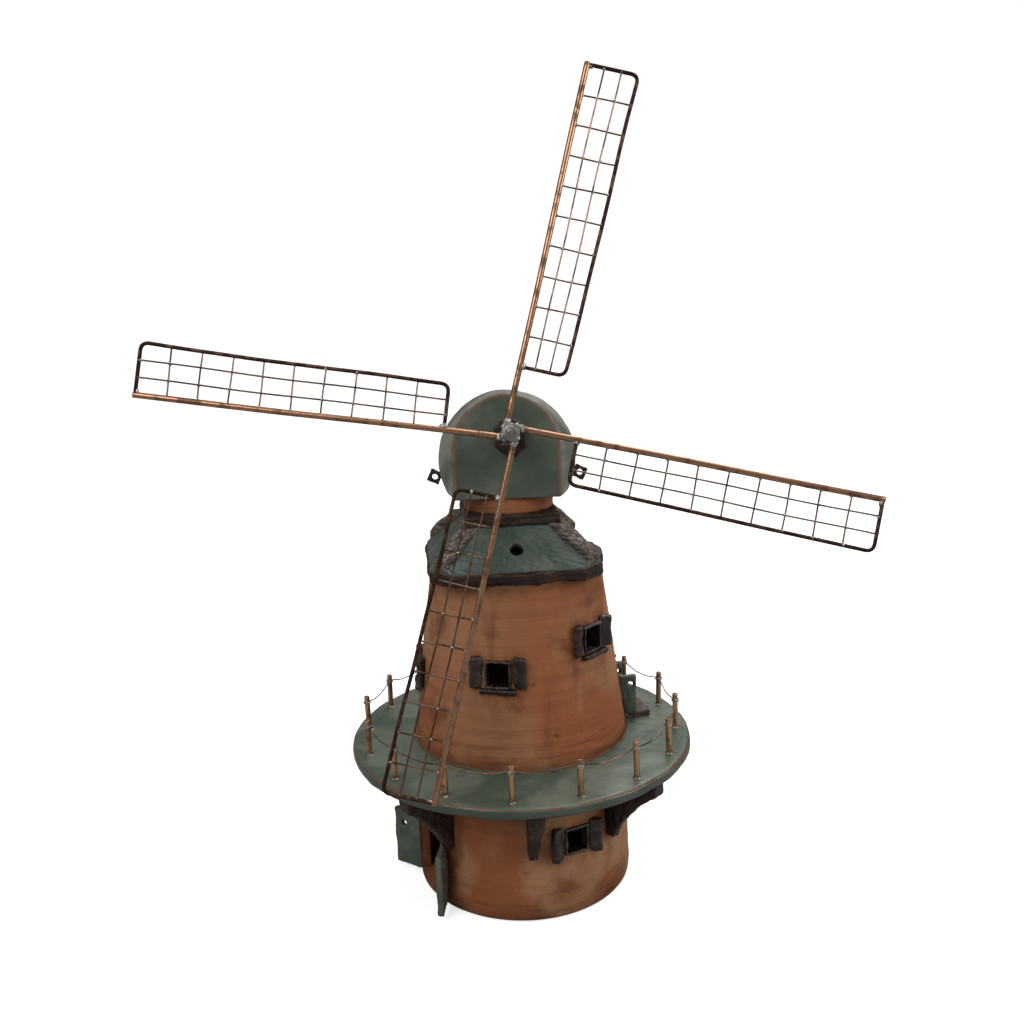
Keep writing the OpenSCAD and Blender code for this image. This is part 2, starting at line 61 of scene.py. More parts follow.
class Body(Enum):
    """The bodies of the frame."""

    MILL = "mill"
    ROTOR = "rotor"


class Slot(Enum):
    """The record's material slots."""

    TERRACOTTA = "terracotta"
    GREEN_GLAZE = "green_glaze"
    BROWN_CLAY = "brown_clay"
    COPPER = "copper"
    DARK_COPPER = "dark_copper"
    SOLDER_STEEL = "solder_steel"


# ---------------------------------------------------------------- surfaces


@dataclass
class Surface:
    """Points in millimetres, and the four- and three-sided faces over them."""

    points: np.ndarray
    quads: np.ndarray = field(default_factory=lambda: np.zeros((0, 4), int))
    tris: np.ndarray = field(default_factory=lambda: np.zeros((0, 3), int))

    def volume(self) -> float:
        """Signed volume: a sixth of the sum of each triangle's triple product."""
        fans = np.vstack([self.tris, self.quads[:, [0, 1, 2]], self.quads[:, [0, 2, 3]]])
        a, b, c = (self.points[fans[:, k]] for k in range(3))
        return float(np.einsum("ij,ij->", a, np.cross(b, c)) / 6)

    def outward(self) -> Surface:
        """The same surface with its faces pointing outwards."""
        if self.volume() < 0:
            return Surface(self.points, self.quads[:, ::-1], self.tris[:, ::-1])
        return self

    def moved(self, turn: np.ndarray, shift: Sequence[float] = (0, 0, 0)) -> Surface:
        """The surface turned by a 3 x 3 matrix and then shifted."""
        return Surface(self.points @ np.asarray(turn).T + np.asarray(shift),
                       self.quads, self.tris)

    def repeated(self, turns: np.ndarray, shifts: np.ndarray) -> Surface:
        """Copies of the surface.

        Args:
            turns: One 3 x 3 matrix a copy, which may also scale.
            shifts: One shift a copy.

        Returns:
            All the copies as one surface.
        """
        count, size = len(turns), len(self.points)
        points = np.einsum("kij,nj->kni", turns, self.points) + shifts[:, None, :]
        steps = (np.arange(count) * size)[:, None, None]
        return Surface(points.reshape(-1, 3), (self.quads[None] + steps).reshape(-1, 4),
                       (self.tris[None] + steps).reshape(-1, 3))


def joined(surfaces: Iterable[Surface]) -> Surface:
    """Several surfaces as one, each turned outwards first."""
    points, quads, tris, start = [], [], [], 0
    for one in (s.outward() for s in surfaces):
        points.append(one.points)
        quads.append(one.quads + start)
        tris.append(one.tris + start)
        start += len(one.points)
    return Surface(np.vstack(points), np.vstack(quads), np.vstack(tris))


def grid(points: np.ndarray, wrap_rows: bool = False, closed_ends: bool = True) -> Surface:
    """A closed surface over a grid whose columns run round.

    Args:
        points: Rows x columns x 3, each row one ring.
        wrap_rows: Whether the last ring joins the first, as on a doughnut.
        closed_ends: Whether the first and last rings are closed with a fan.

    Returns:
        The surface: neighbouring rings are joined by four-sided faces.
    """
    rows, columns = points.shape[:2]
    index = np.arange(rows * columns).reshape(rows, columns)
    here = index if wrap_rows else index[:-1]
    above = np.roll(index, -1, 0) if wrap_rows else index[1:]
    quads = np.stack([here, np.roll(here, -1, 1), np.roll(above, -1, 1), above], -1)
    flat, tris = points.reshape(-1, 3), np.zeros((0, 3), int)
    if closed_ends and not wrap_rows:
        ends = np.array([points[0].mean(0), points[-1].mean(0)])
        first, last = index[0], index[-1]
        low = np.full(columns, rows * columns)
        tris = np.vstack([np.stack([low, np.roll(first, -1), first], -1),
                          np.stack([low + 1, last, np.roll(last, -1)], -1)])
        flat = np.vstack([flat, ends])
    return Surface(flat, quads.reshape(-1, 4), tris)


def turned(profile: np.ndarray, columns: int, wrap: bool = False) -> Surface:
    """A profile turned round Z, as on a lathe: x = r cos a, y = r sin a, z = z.

    Args:
        profile: Points (r, z) from one end to the other.
        columns: Number of points round.
        wrap: Whether the profile is a closed loop away from the axis.

    Returns:
        The closed surface.
    """
    angle = np.linspace(0, 2 * np.pi, columns, endpoint=False)
    r, z = profile[:, :1], np.broadcast_to(profile[:, 1:], (len(profile), columns))
    return grid(np.stack([r * np.cos(angle), r * np.sin(angle), z], -1), wrap)


def tube(path: np.ndarray, radius: float | np.ndarray, up: Sequence[float],
         sides: int = 10, loop: bool = False) -> Surface:
    """A round wire along a path: each ring is p + r (cos a side + sin a up).

    Args:
        path: Points along the wire's middle.
        radius: The wire's radius, one number or one a point.
        up: A direction that the path never runs along.
        sides: Number of points round the wire.
        loop: Whether the wire's end joins its start.

    Returns:
        The closed surface, its open ends shrunk to small rounded tips.
    """
    radius = np.broadcast_to(np.asarray(radius, float), len(path)).copy()
    if loop:
        along = np.roll(path, -1, 0) - np.roll(path, 1, 0)
    else:
        start, end = path[0] - path[1], path[-1] - path[-2]
        bulge = np.array([0.75, 0.45])[:, None]
        head = path[0] + start / np.linalg.norm(start) * radius[0] * bulge
        tail = path[-1] + end / np.linalg.norm(end) * radius[-1] * bulge[::-1]
        path = np.vstack([head, path, tail])
        radius = np.concatenate([radius[0] * np.array([0.35, 0.8]), radius,
                                 radius[-1] * np.array([0.8, 0.35])])
        along = np.gradient(path, axis=0)
    along /= np.linalg.norm(along, axis=1, keepdims=True)
    side = np.cross(np.asarray(up, float), along)
    side /= np.linalg.norm(side, axis=1, keepdims=True)
    rise = np.cross(along, side)
    angle = np.linspace(0, 2 * np.pi, sides, endpoint=False)[None, :, None]
    ring = np.cos(angle) * side[:, None] + np.sin(angle) * rise[:, None]
    return grid(path[:, None] + radius[:, None, None] * ring, wrap_rows=loop)


def sway(points: np.ndarray, length: float, seed: int, waves: int = 14) -> np.ndarray:
    """A smooth, seeded unevenness of about -1 to 1: the sum of sine waves of roughly
    one length that run in many directions, over the root of their number."""
    rng = np.random.default_rng(seed)
    aim = rng.normal(size=(waves, 3))
    aim /= np.linalg.norm(aim, axis=1, keepdims=True)
    pitch = length * rng.uniform(0.6, 1.6, (waves, 1))
    phase = rng.uniform(0, 2 * np.pi, waves)
    return np.sin(points @ (2 * np.pi * aim / pitch).T + phase).sum(1) / math.sqrt(waves)


def outwards(direction: np.ndarray | float) -> np.ndarray:
    """Unit vector that points outwards in a direction given in degrees."""
    turn = np.radians(direction)
    return np.stack([np.sin(turn), -np.cos(turn), 0 * turn], -1)


def facing(direction: float) -> np.ndarray:
    """3 x 3 matrix that turns +X to point outwards in a direction, +Z staying up."""
    out = outwards(direction)
    return np.stack([out, np.cross([0, 0, 1], out), np.array([0, 0, 1.0])], 1)


@dataclass(frozen=True)
class Opening:
    """A straight-sided opening cut through a round wall."""

    direction: float
    width: float
    low: float
    high: float


def with_lines(base: np.ndarray, exact: Iterable[float]) -> np.ndarray:
    """Grid lines that include every exact value and drop neighbours too close to one."""
    exact = np.unique(np.round(list(exact), 6))
    if not len(exact):
        return base
    gap = 0.45 * float(np.diff(base).mean())
    far = np.abs(base[:, None] - exact[None]).min(1) > gap
    return np.unique(np.concatenate([base[far], exact]))


def pierced_wall(outer: Callable[[np.ndarray], np.ndarray], wall: float, low: float,
                 high: float, openings: Sequence[Opening], pitch: float,
                 uneven: Callable[[np.ndarray], np.ndarray]) -> Surface:
    """A round wall with openings. Each point is r(z) times the outward direction, and
    the grid's own lines follow the edges of the openings, whose faces are left out and
    whose two skins are joined by straight jambs.

    Args:
        outer: Outer radius at an array of heights.
        wall: Thickness.
        low: Height of the wall's foot.
        high: Height of its top.
        openings: The openings.
        pitch: Distance between grid lines.
        uneven: Radial unevenness of the outer skin at an array of points.

    Returns:
        The closed wall, standing on the Z axis.
    """
    z = with_lines(np.linspace(low, high, int((high - low) / pitch) + 1),
                   [v for o in openings for v in (o.low, o.high)] + [low, high])
    mid = float(outer(np.array([(low + high) / 2]))[0])
    halves = [math.degrees(math.asin(o.width / 2 / float(
        outer(np.array([(o.low + o.high) / 2]))[0]))) for o in openings]
    turn = with_lines(np.arange(-180, 180, math.degrees(pitch / mid)),
                      [v for o, h in zip(openings, halves)
                       for v in (o.direction - h, o.direction + h)])
    inner_turn = turn.copy()
    for o, h in zip(openings, halves):
        off = turn - o.direction
        extra = wall / mid * np.clip(off, -h, h)
        inner_turn += extra * np.clip(1 - (np.abs(off) - h) / 11, 0, 1)
    radius = outer(z)[:, None]
    heights = np.broadcast_to(z[:, None], (len(z), len(turn)))[..., None]
    skin = radius[..., None] * outwards(turn)[None]
    skin[..., 2:] = heights
    skin += uneven(skin.reshape(-1, 3)).reshape(len(z), -1, 1) * outwards(turn)[None]
    inside = (outer(np.maximum(z, low + 8))[:, None, None] - wall) * outwards(inner_turn)[None]
    inside[..., 2:] = heights
    rows, columns = len(z), len(turn)
    o_ = np.arange(rows * columns).reshape(rows, columns)
    i_ = o_ + rows * columns
    open_ = np.zeros((rows - 1, columns), bool)
    jambs = []
    for o, h in zip(openings, halves):
        r0, r1 = np.searchsorted(z, [o.low - 1e-6, o.high - 1e-6])
        c0, c1 = np.searchsorted(turn, [o.direction - h - 1e-6, o.direction + h - 1e-6])
        open_[r0:r1, c0:c1] = True
        r, c = np.arange(r0, r1), np.arange(c0, c1)
        if r0 > 0:
            jambs.append(np.stack([o_[r0, c], o_[r0, c + 1], i_[r0, c + 1], i_[r0, c]], -1))
        jambs += [np.stack([o_[r1, c + 1], o_[r1, c], i_[r1, c], i_[r1, c + 1]], -1),
                  np.stack([o_[r + 1, c0], o_[r, c0], i_[r, c0], i_[r + 1, c0]], -1),
                  np.stack([o_[r, c1], o_[r + 1, c1], i_[r + 1, c1], i_[r, c1]], -1)]
    o_on, i_on = np.roll(o_, -1, 1), np.roll(i_, -1, 1)
    shut = ~open_
    outer_faces = np.stack([o_[:-1], o_on[:-1], o_on[1:], o_[1:]], -1)[shut]
    inner_faces = np.stack([i_on[:-1], i_[:-1], i_[1:], i_on[1:]], -1)[shut]
    foot = np.stack([o_on[0], o_[0], i_[0], i_on[0]], -1)[shut[0]]
    rim = np.stack([o_[-1], o_on[-1], i_on[-1], i_[-1]], -1)
    return Surface(np.vstack([skin.reshape(-1, 3), inside.reshape(-1, 3)]),
                   np.vstack([outer_faces, inner_faces, foot, rim, *jambs]))


def lumps(centres: np.ndarray, sizes: np.ndarray, turns: np.ndarray, seed: int) -> Surface:
    """Small uneven lumps: a ball of 5 x 8 points whose radius swells and sinks, scaled
    and turned for each place.

    Args:
        centres: Middle of each lump.
        sizes: Its three half-lengths.
        turns: A 3 x 3 matrix for each.
        seed: Number that fixes their unevenness.

    Returns:
        All the lumps as one surface.
    """
    tilt = np.linspace(0.35, np.pi - 0.35, 5)[:, None]
    angle = np.linspace(0, 2 * np.pi, 8, endpoint=False)[None]
    ball = np.stack([np.sin(tilt) * np.cos(angle), np.sin(tilt) * np.sin(angle),
                     np.cos(tilt) + 0 * angle], -1)
    base = grid(ball).outward()
    copies = base.repeated(turns * sizes[:, None, :], centres)
    owner = np.repeat(np.arange(len(centres)), len(base.points))
    swell = 1 + 0.16 * sway(copies.points, 2.2, seed)
    copies.points = centres[owner] + (copies.points - centres[owner]) * swell[:, None]
    return copies


# ---------------------------------------------------------------- meshes


def mesh_of(name: str, surface: Surface, sharp_above: float = 50) -> bpy.types.Mesh:
    """A Blender mesh in metres from a surface, smooth but for edges over an angle."""
    mesh = bpy.data.meshes.new(name)
    corners = np.concatenate([surface.quads.ravel(), surface.tris.ravel()])
    starts = np.concatenate([np.arange(len(surface.quads)) * 4,
                             len(surface.quads) * 4 + np.arange(len(surface.tris)) * 3])
    mesh.vertices.add(len(surface.points))
    mesh.vertices.foreach_set("co", (surface.points * MM).astype(np.float32).ravel())
    mesh.loops.add(len(corners))
    mesh.loops.foreach_set("vertex_index", corners.astype(np.int32))
    mesh.polygons.add(len(starts))
    mesh.polygons.foreach_set("loop_start", starts.astype(np.int32))
    mesh.update(calc_edges=True)
    mesh.validate()
    mesh.shade_smooth()
    mesh.set_sharp_from_angle(angle=math.radians(sharp_above))
    return mesh


def points_of(mesh: bpy.types.Mesh) -> np.ndarray:
    """A mesh's points in millimetres."""
    flat = np.empty(len(mesh.vertices) * 3, np.float32)
    mesh.vertices.foreach_get("co", flat)
    return flat.reshape(-1, 3).astype(float) / MM


def set_points(mesh: bpy.types.Mesh, points: np.ndarray) -> None:
    """Puts points, in millimetres, back into a mesh."""
    mesh.vertices.foreach_set("co", (points * MM).astype(np.float32).ravel())
    mesh.update()


def softened(nodes: str | Sequence[str], voxel: float, rounds: int, uneven: float = 0.25,
             wave: float = 14, swell: float = 0.25, seed: int = 1,
             lap: float = 0.3) -> bpy.types.Mesh:
    """A copy of one or more of the frame's solids that looks pressed by hand. Its skin is
    laid out afresh in even squares and relaxed, and then each point moves along its
    normal by swell + uneven x sway(point).

    Args:
        nodes: The frame's node, or the nodes to run together.
        voxel: Size of the squares.
        rounds: Number of times that the skin is relaxed.
        uneven: Height of the unevenness.
        wave: Length of the unevenness.
        swell: Growth that makes up for what relaxing takes off.
        seed: Number that fixes the unevenness.
        lap: Growth of each of several nodes, so that they overlap where they touch.

    Returns:
        The new mesh.
    """
    names = [nodes] if isinstance(nodes, str) else list(nodes)
    rough, work = bpy.data.meshes.new("work"), bmesh.new()
    for name in names:
        one = bmesh.new()
        one.from_mesh(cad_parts[name].data)
        bmesh.ops.remove_doubles(one, verts=one.verts, dist=1e-5)
        one.normal_update()
        for corner in one.verts if len(names) > 1 else ():
            corner.co += corner.normal * lap * MM
        one.to_mesh(rough)
        work.from_mesh(rough)
        one.free()
    work.to_mesh(rough)
    work.free()
    carrier = bpy.data.objects.new("work", rough)
    bpy.context.scene.collection.objects.link(carrier)
    squares = carrier.modifiers.new("squares", "REMESH")
    squares.mode, squares.voxel_size = "VOXEL", voxel * MM
    relax = carrier.modifiers.new("relax", "SMOOTH")
    relax.factor, relax.iterations = 0.5, rounds
    graph = bpy.context.evaluated_depsgraph_get()
    mesh = bpy.data.meshes.new_from_object(carrier.evaluated_get(graph))
    bpy.data.objects.remove(carrier)
    bpy.data.meshes.remove(rough)
    normals = np.empty(len(mesh.vertices) * 3, np.float32)
    mesh.vertex_normals.foreach_get("vector", normals)
    points = points_of(mesh)
    move = swell + uneven * sway(points, wave, seed) + 0.3 * uneven * sway(
        points, wave / 4, seed + 50)
    set_points(mesh, points + move[:, None] * normals.reshape(-1, 3))
    mesh.materials.clear()
    mesh.shade_smooth()
    return mesh


def give_fibres(mesh: bpy.types.Mesh, along: np.ndarray, across: np.ndarray,
                through: np.ndarray) -> None:
    """Stores the directions of the combed grain as an attribute, in millimetres."""
    store = mesh.attributes.new("fibre", "FLOAT_VECTOR", "POINT")
    store.data.foreach_set("vector", np.stack(
        [along, across, through], -1).astype(np.float32).ravel())


def give_value(mesh: bpy.types.Mesh, name: str, values: np.ndarray) -> None:
    """Stores one number a point as an attribute."""
    store = mesh.attributes.new(name, "FLOAT", "POINT")
    store.data.foreach_set("value", values.astype(np.float32))


def stains(points: np.ndarray, openings: Sequence[Opening]) -> np.ndarray:
    """Where oxide has bled round openings, from 0 to 1. Beside and above an opening it
    falls off as exp(-(distance / 6)^2), and below it as a run, exp(-distance / 17)."""
    turn = np.degrees(np.arctan2(points[:, 0], -points[:, 1]))
    radius = np.hypot(points[:, 0], points[:, 1])
    most = np.zeros(len(points))
    for o in openings:
        off = (turn - o.direction + 180) % 360 - 180
        beside = np.maximum(np.abs(np.radians(off)) * radius - o.width / 2 - 4, 0)
        above = np.maximum(points[:, 2] - o.high, 0)
        below = np.maximum(o.low - points[:, 2], 0)
        most = np.maximum(most, np.exp(-(beside / 6) ** 2 - (above / 6) ** 2 - below / 17))
    return most


class Workshop:
    """Makes objects out of meshes, dresses them and hands them to the frame."""

    def __init__(self) -> None:
        """Starts with nothing made."""
        self.count = 0

    def add(self, name: str, mesh: bpy.types.Mesh | Surface, body: Body, slot: Slot,
            finish: bpy.types.Material, *stands_for: str) -> bpy.types.Object:
        """Adds one piece.

        Args:
            name: The piece's name.
            mesh: Its mesh, or the surface to make it from.
            body: The body that it rides on.
            slot: The record's slot that its finish is for; not used.
            finish: Its material.
            stands_for: Nodes of the frame that it replaces.

        Returns:
            The piece's object.
        """
        if isinstance(mesh, Surface):
            mesh = mesh_of(name, mesh)
        mesh.name = name
        mesh.materials.append(finish)
        piece = bpy.data.objects.new(name, mesh)
        bpy.context.scene.collection.objects.link(piece)
        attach(piece, body.value)
        if stands_for:
            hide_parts(*stands_for)
        self.count += 1
        log.info("%-26s %6d faces  %s", name, len(mesh.polygons), finish.name)
        return piece

    def dress(self, node: str, finish: bpy.types.Material) -> None:
        """Gives a node of the frame its finish."""
        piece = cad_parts[node]
        piece.data.materials.clear()
        piece.data.materials.append(finish)
        log.info("%-26s dressed  %s", node, finish.name)


# ---------------------------------------------------------------- node groups


class Wiring:
    """Adds nodes to one node tree and joins them."""

    def __init__(self, tree: bpy.types.NodeTree) -> None:
        """Starts on a tree."""
        self.tree = tree

    def node(self, kind: str, inputs: dict | None = None, **settings) -> bpy.types.Node:
        """Adds a node.

        Args:
            kind: The node's type name without its prefix.
            inputs: A value or an output socket for each input's name or number.
            settings: Properties of the node.

        Returns:
            The node.
        """
        made = self.tree.nodes.new("ShaderNode" + kind)
        for key, value in settings.items():
            setattr(made, key, value)
        for key, value in (inputs or {}).items():
            self.feed(made.inputs[key], value)
        return made

    def feed(self, socket: bpy.types.NodeSocket, value: object) -> None:
        """Sets an input, or joins it to an output."""
        if isinstance(value, bpy.types.NodeSocket):
            self.tree.links.new(value, socket)
        elif isinstance(value, tuple) and socket.type == "RGBA":
            socket.default_value = (*value, 1.0)
        else:
            socket.default_value = value

    def sum(self, operation: str, a: object, b: object = 0.0,
            clamp: bool = False) -> bpy.types.NodeSocket:
        """One step of arithmetic on values."""
        return self.node("Math", {0: a, 1: b}, operation=operation,
                         use_clamp=clamp).outputs[0]

    def scaled(self, vector: bpy.types.NodeSocket, by: object) -> bpy.types.NodeSocket:
        """A vector times a vector."""
        return self.node("VectorMath", {0: vector, 1: by}, operation="MULTIPLY").outputs[0]

    def ramp(self, value: object, low: object, high: object, bottom: object = 0.0,
             top: object = 1.0) -> bpy.types.NodeSocket:
        """A smooth step from bottom to top as the value goes from low to high."""
        return self.node("MapRange", {"Value": value, "From Min": low, "From Max": high,
                                      "To Min": bottom, "To Max": top},
                         interpolation_type="SMOOTHSTEP").outputs[0]

    def blend(self, factor: object, a: object, b: object) -> bpy.types.NodeSocket:
        """Colour a where the factor is 0 and b where it is 1."""
        return self.node("Mix", {0: factor, 6: a, 7: b}, data_type="RGBA").outputs[2]

    def noise(self, vector: bpy.types.NodeSocket, scale: object, detail: float = 3,
              warp: float = 0.0) -> bpy.types.NodeSocket:
        """Noise from 0 to 1."""
        return self.node("TexNoise", {"Vector": vector, "Scale": scale, "Detail": detail,
                                      "Distortion": warp}).outputs[0]

    def patches(self, vector: bpy.types.NodeSocket, size: float, low: float, high: float,
                stretch: tuple[float, float, float] = (1.0, 1.0, 1.0)) -> bpy.types.NodeSocket:
        """Mask of patches of a size in millimetres, soft from low to high of its noise."""
        return self.group(Effect.PATCHES, {"Vector": vector, "Stretch": stretch, "Size": size,
                                           "Low": low, "High": high}).outputs[0]

    def group(self, which: Effect, inputs: dict) -> bpy.types.Node:
        """Places a shared effect with its own values."""
        made = self.tree.nodes.new("ShaderNodeGroup")
        made.node_tree = which.tree()
        for key, value in inputs.items():
            self.feed(made.inputs[key], value)
        return made


class Effect(Enum):
    """Effects that several finishes share, each built once as a node group."""

    PATCHES = "patches"
    EDGES = "edges"
    GRIT = "grit"
    RINGS = "throwing rings"
    GRAIN = "combed grain"

    def tree(self) -> bpy.types.NodeTree:
        """The effect's node group, built at its first use."""
        if self.value in bpy.data.node_groups:
            return bpy.data.node_groups[self.value]
        tree = bpy.data.node_groups.new(self.value, "ShaderNodeTree")
        {Effect.PATCHES: _patches, Effect.EDGES: _edges, Effect.GRIT: _grit,
         Effect.RINGS: _rings, Effect.GRAIN: _grain}[self](tree)
        return tree


def _sockets(tree: bpy.types.NodeTree, inputs: dict[str, object],
             outputs: Sequence[str]) -> tuple[Wiring, dict, bpy.types.Node]:
    """Opens a group: values are floats, and triples are vectors."""
    for name, value in inputs.items():
        kind = "NodeSocketVector" if isinstance(value, tuple) else "NodeSocketFloat"
        tree.interface.new_socket(name, in_out="INPUT", socket_type=kind).default_value = value
    for name in outputs:
        tree.interface.new_socket(name, in_out="OUTPUT", socket_type="NodeSocketFloat")
    source = tree.nodes.new("NodeGroupInput")
    return (Wiring(tree), {s.name: s for s in source.outputs if s.name},
            tree.nodes.new("NodeGroupOutput"))


def _patches(tree: bpy.types.NodeTree) -> None:
    """Soft-edged patches of about a size in millimetres, stretched along an axis."""
    w, given, out = _sockets(tree, {"Vector": (0.0, 0.0, 0.0), "Stretch": (1.0, 1.0, 1.0),
                                    "Size": 30.0, "Low": 0.45, "High": 0.65}, ["Mask"])
    place = w.scaled(given["Vector"], given["Stretch"])
    field_ = w.noise(place, w.sum("DIVIDE", 1000.0, given["Size"]), 4, 0.4)
    w.feed(out.inputs["Mask"], w.ramp(field_, given["Low"], given["High"]))


def _edges(tree: bpy.types.NodeTree) -> None:
    """Raised edges and hollows, broken up by noise, from how far the skin bends."""
    w, given, out = _sockets(tree, {"Vector": (0.0, 0.0, 0.0), "Low": 0.01, "High": 0.08,
                                    "Size": 6.0}, ["Raised", "Hollow"])
    bend = w.sum("SUBTRACT", w.node("NewGeometry").outputs["Pointiness"], 0.5)
    rough = w.ramp(w.noise(given["Vector"], w.sum("DIVIDE", 1000.0, given["Size"]), 3),
                   0.3, 0.7, 0.45, 1.0)
    for name, value in (("Raised", bend), ("Hollow", w.sum("MULTIPLY", bend, -1.0))):
        w.feed(out.inputs[name], w.sum("MULTIPLY", rough,
                                       w.ramp(value, given["Low"], given["High"])))


def _grit(tree: bpy.types.NodeTree) -> None:
    """Height of a grogged, slightly pitted skin, from 0 to 1."""
    w, given, out = _sockets(tree, {"Vector": (0.0, 0.0, 0.0), "Size": 1.2, "Pits": 0.3},
                             ["Height"])
    scale = w.sum("DIVIDE", 1000.0, given["Size"])
    fine = w.noise(given["Vector"], scale, 3)
    wide = w.noise(given["Vector"], w.sum("MULTIPLY", scale, 0.22), 2)
    pit = w.node("TexVoronoi", {"Vector": given["Vector"],
                                "Scale": w.sum("MULTIPLY", scale, 0.5)}).outputs[0]
    pit = w.sum("MULTIPLY", w.ramp(pit, 0.05, 0.22, 1.0, 0.0), given["Pits"])
    both = w.sum("ADD", w.sum("MULTIPLY", fine, 0.4), w.sum("MULTIPLY", wide, 0.6))
    w.feed(out.inputs["Height"], w.sum("SUBTRACT", both, pit))


def _rings(tree: bpy.types.NodeTree) -> None:
    """Ridges that fingers leave as a wall is thrown: noise drawn out sideways."""
    w, given, out = _sockets(tree, {"Vector": (0.0, 0.0, 0.0), "Pitch": 4.0},
                             ["Height", "Mask"])
    flat = w.scaled(given["Vector"], (0.04, 0.04, 1.0))
    scale = w.sum("DIVIDE", 1000.0, given["Pitch"])
    ridge = w.noise(flat, scale, 2, 0.2)
    fine = w.noise(flat, w.sum("MULTIPLY", scale, 3.5), 2)
    w.feed(out.inputs["Height"], w.sum("ADD", ridge, w.sum("MULTIPLY", fine, 0.35)))
    w.feed(out.inputs["Mask"], w.ramp(ridge, 0.5, 0.72))


def _grain(tree: bpy.types.NodeTree) -> None:
    """Combed grain that runs along the first number of the fibre vector."""
    w, given, out = _sockets(tree, {"Fibre": (0.0, 0.0, 0.0), "Pitch": 1.6},
                             ["Height", "Mask"])
    drawn = w.scaled(given["Fibre"], (0.07, 1.0, 1.0))
    scale = w.sum("DIVIDE", 1.0, given["Pitch"])
    line = w.noise(drawn, scale, 4, 0.3)
    deep = w.noise(drawn, w.sum("MULTIPLY", scale, 0.4), 2)
    w.feed(out.inputs["Height"], w.sum("ADD", w.sum("MULTIPLY", line, 0.5),
                                       w.sum("MULTIPLY", deep, 0.5)))
    w.feed(out.inputs["Mask"], w.ramp(line, 0.45, 0.68))


# ---------------------------------------------------------------- finishes


@dataclass(frozen=True)
class Finish:
    """What every finish has: a name and the numbers set on the shader itself."""

    name: str
    specular: float = 0.5
    metallic: float = 0.0

    def start(self) -> tuple[Wiring, bpy.types.NodeSocket, bpy.types.Node, bpy.types.Material]:
        """Opens a material: its wiring, object coordinates, shader and itself."""
        made = bpy.data.materials.new(self.name)
        made.use_nodes = True
        w = Wiring(made.node_tree)
        shader = made.node_tree.nodes["Principled BSDF"]
        shader.inputs["Specular IOR Level"].default_value = self.specular
        shader.inputs["Metallic"].default_value = self.metallic
        return w, w.node("TexCoord").outputs["Object"], shader, made

    @staticmethod
    def relief(w: Wiring, shader: bpy.types.Node,
               heights: Sequence[tuple[bpy.types.NodeSocket, float]]) -> None:
        """Bumps the shader's normal by heights of 0 to 1, each with a depth in mm."""
        normal = None
        for height, depth in heights:
            bump = w.node("Bump", {"Height": height, "Distance": depth * MM,
                                   "Strength": 1.0})
            if normal is not None:
                w.feed(bump.inputs["Normal"], normal)
            normal = bump.outputs[0]
        w.feed(shader.inputs["Normal"], normal)


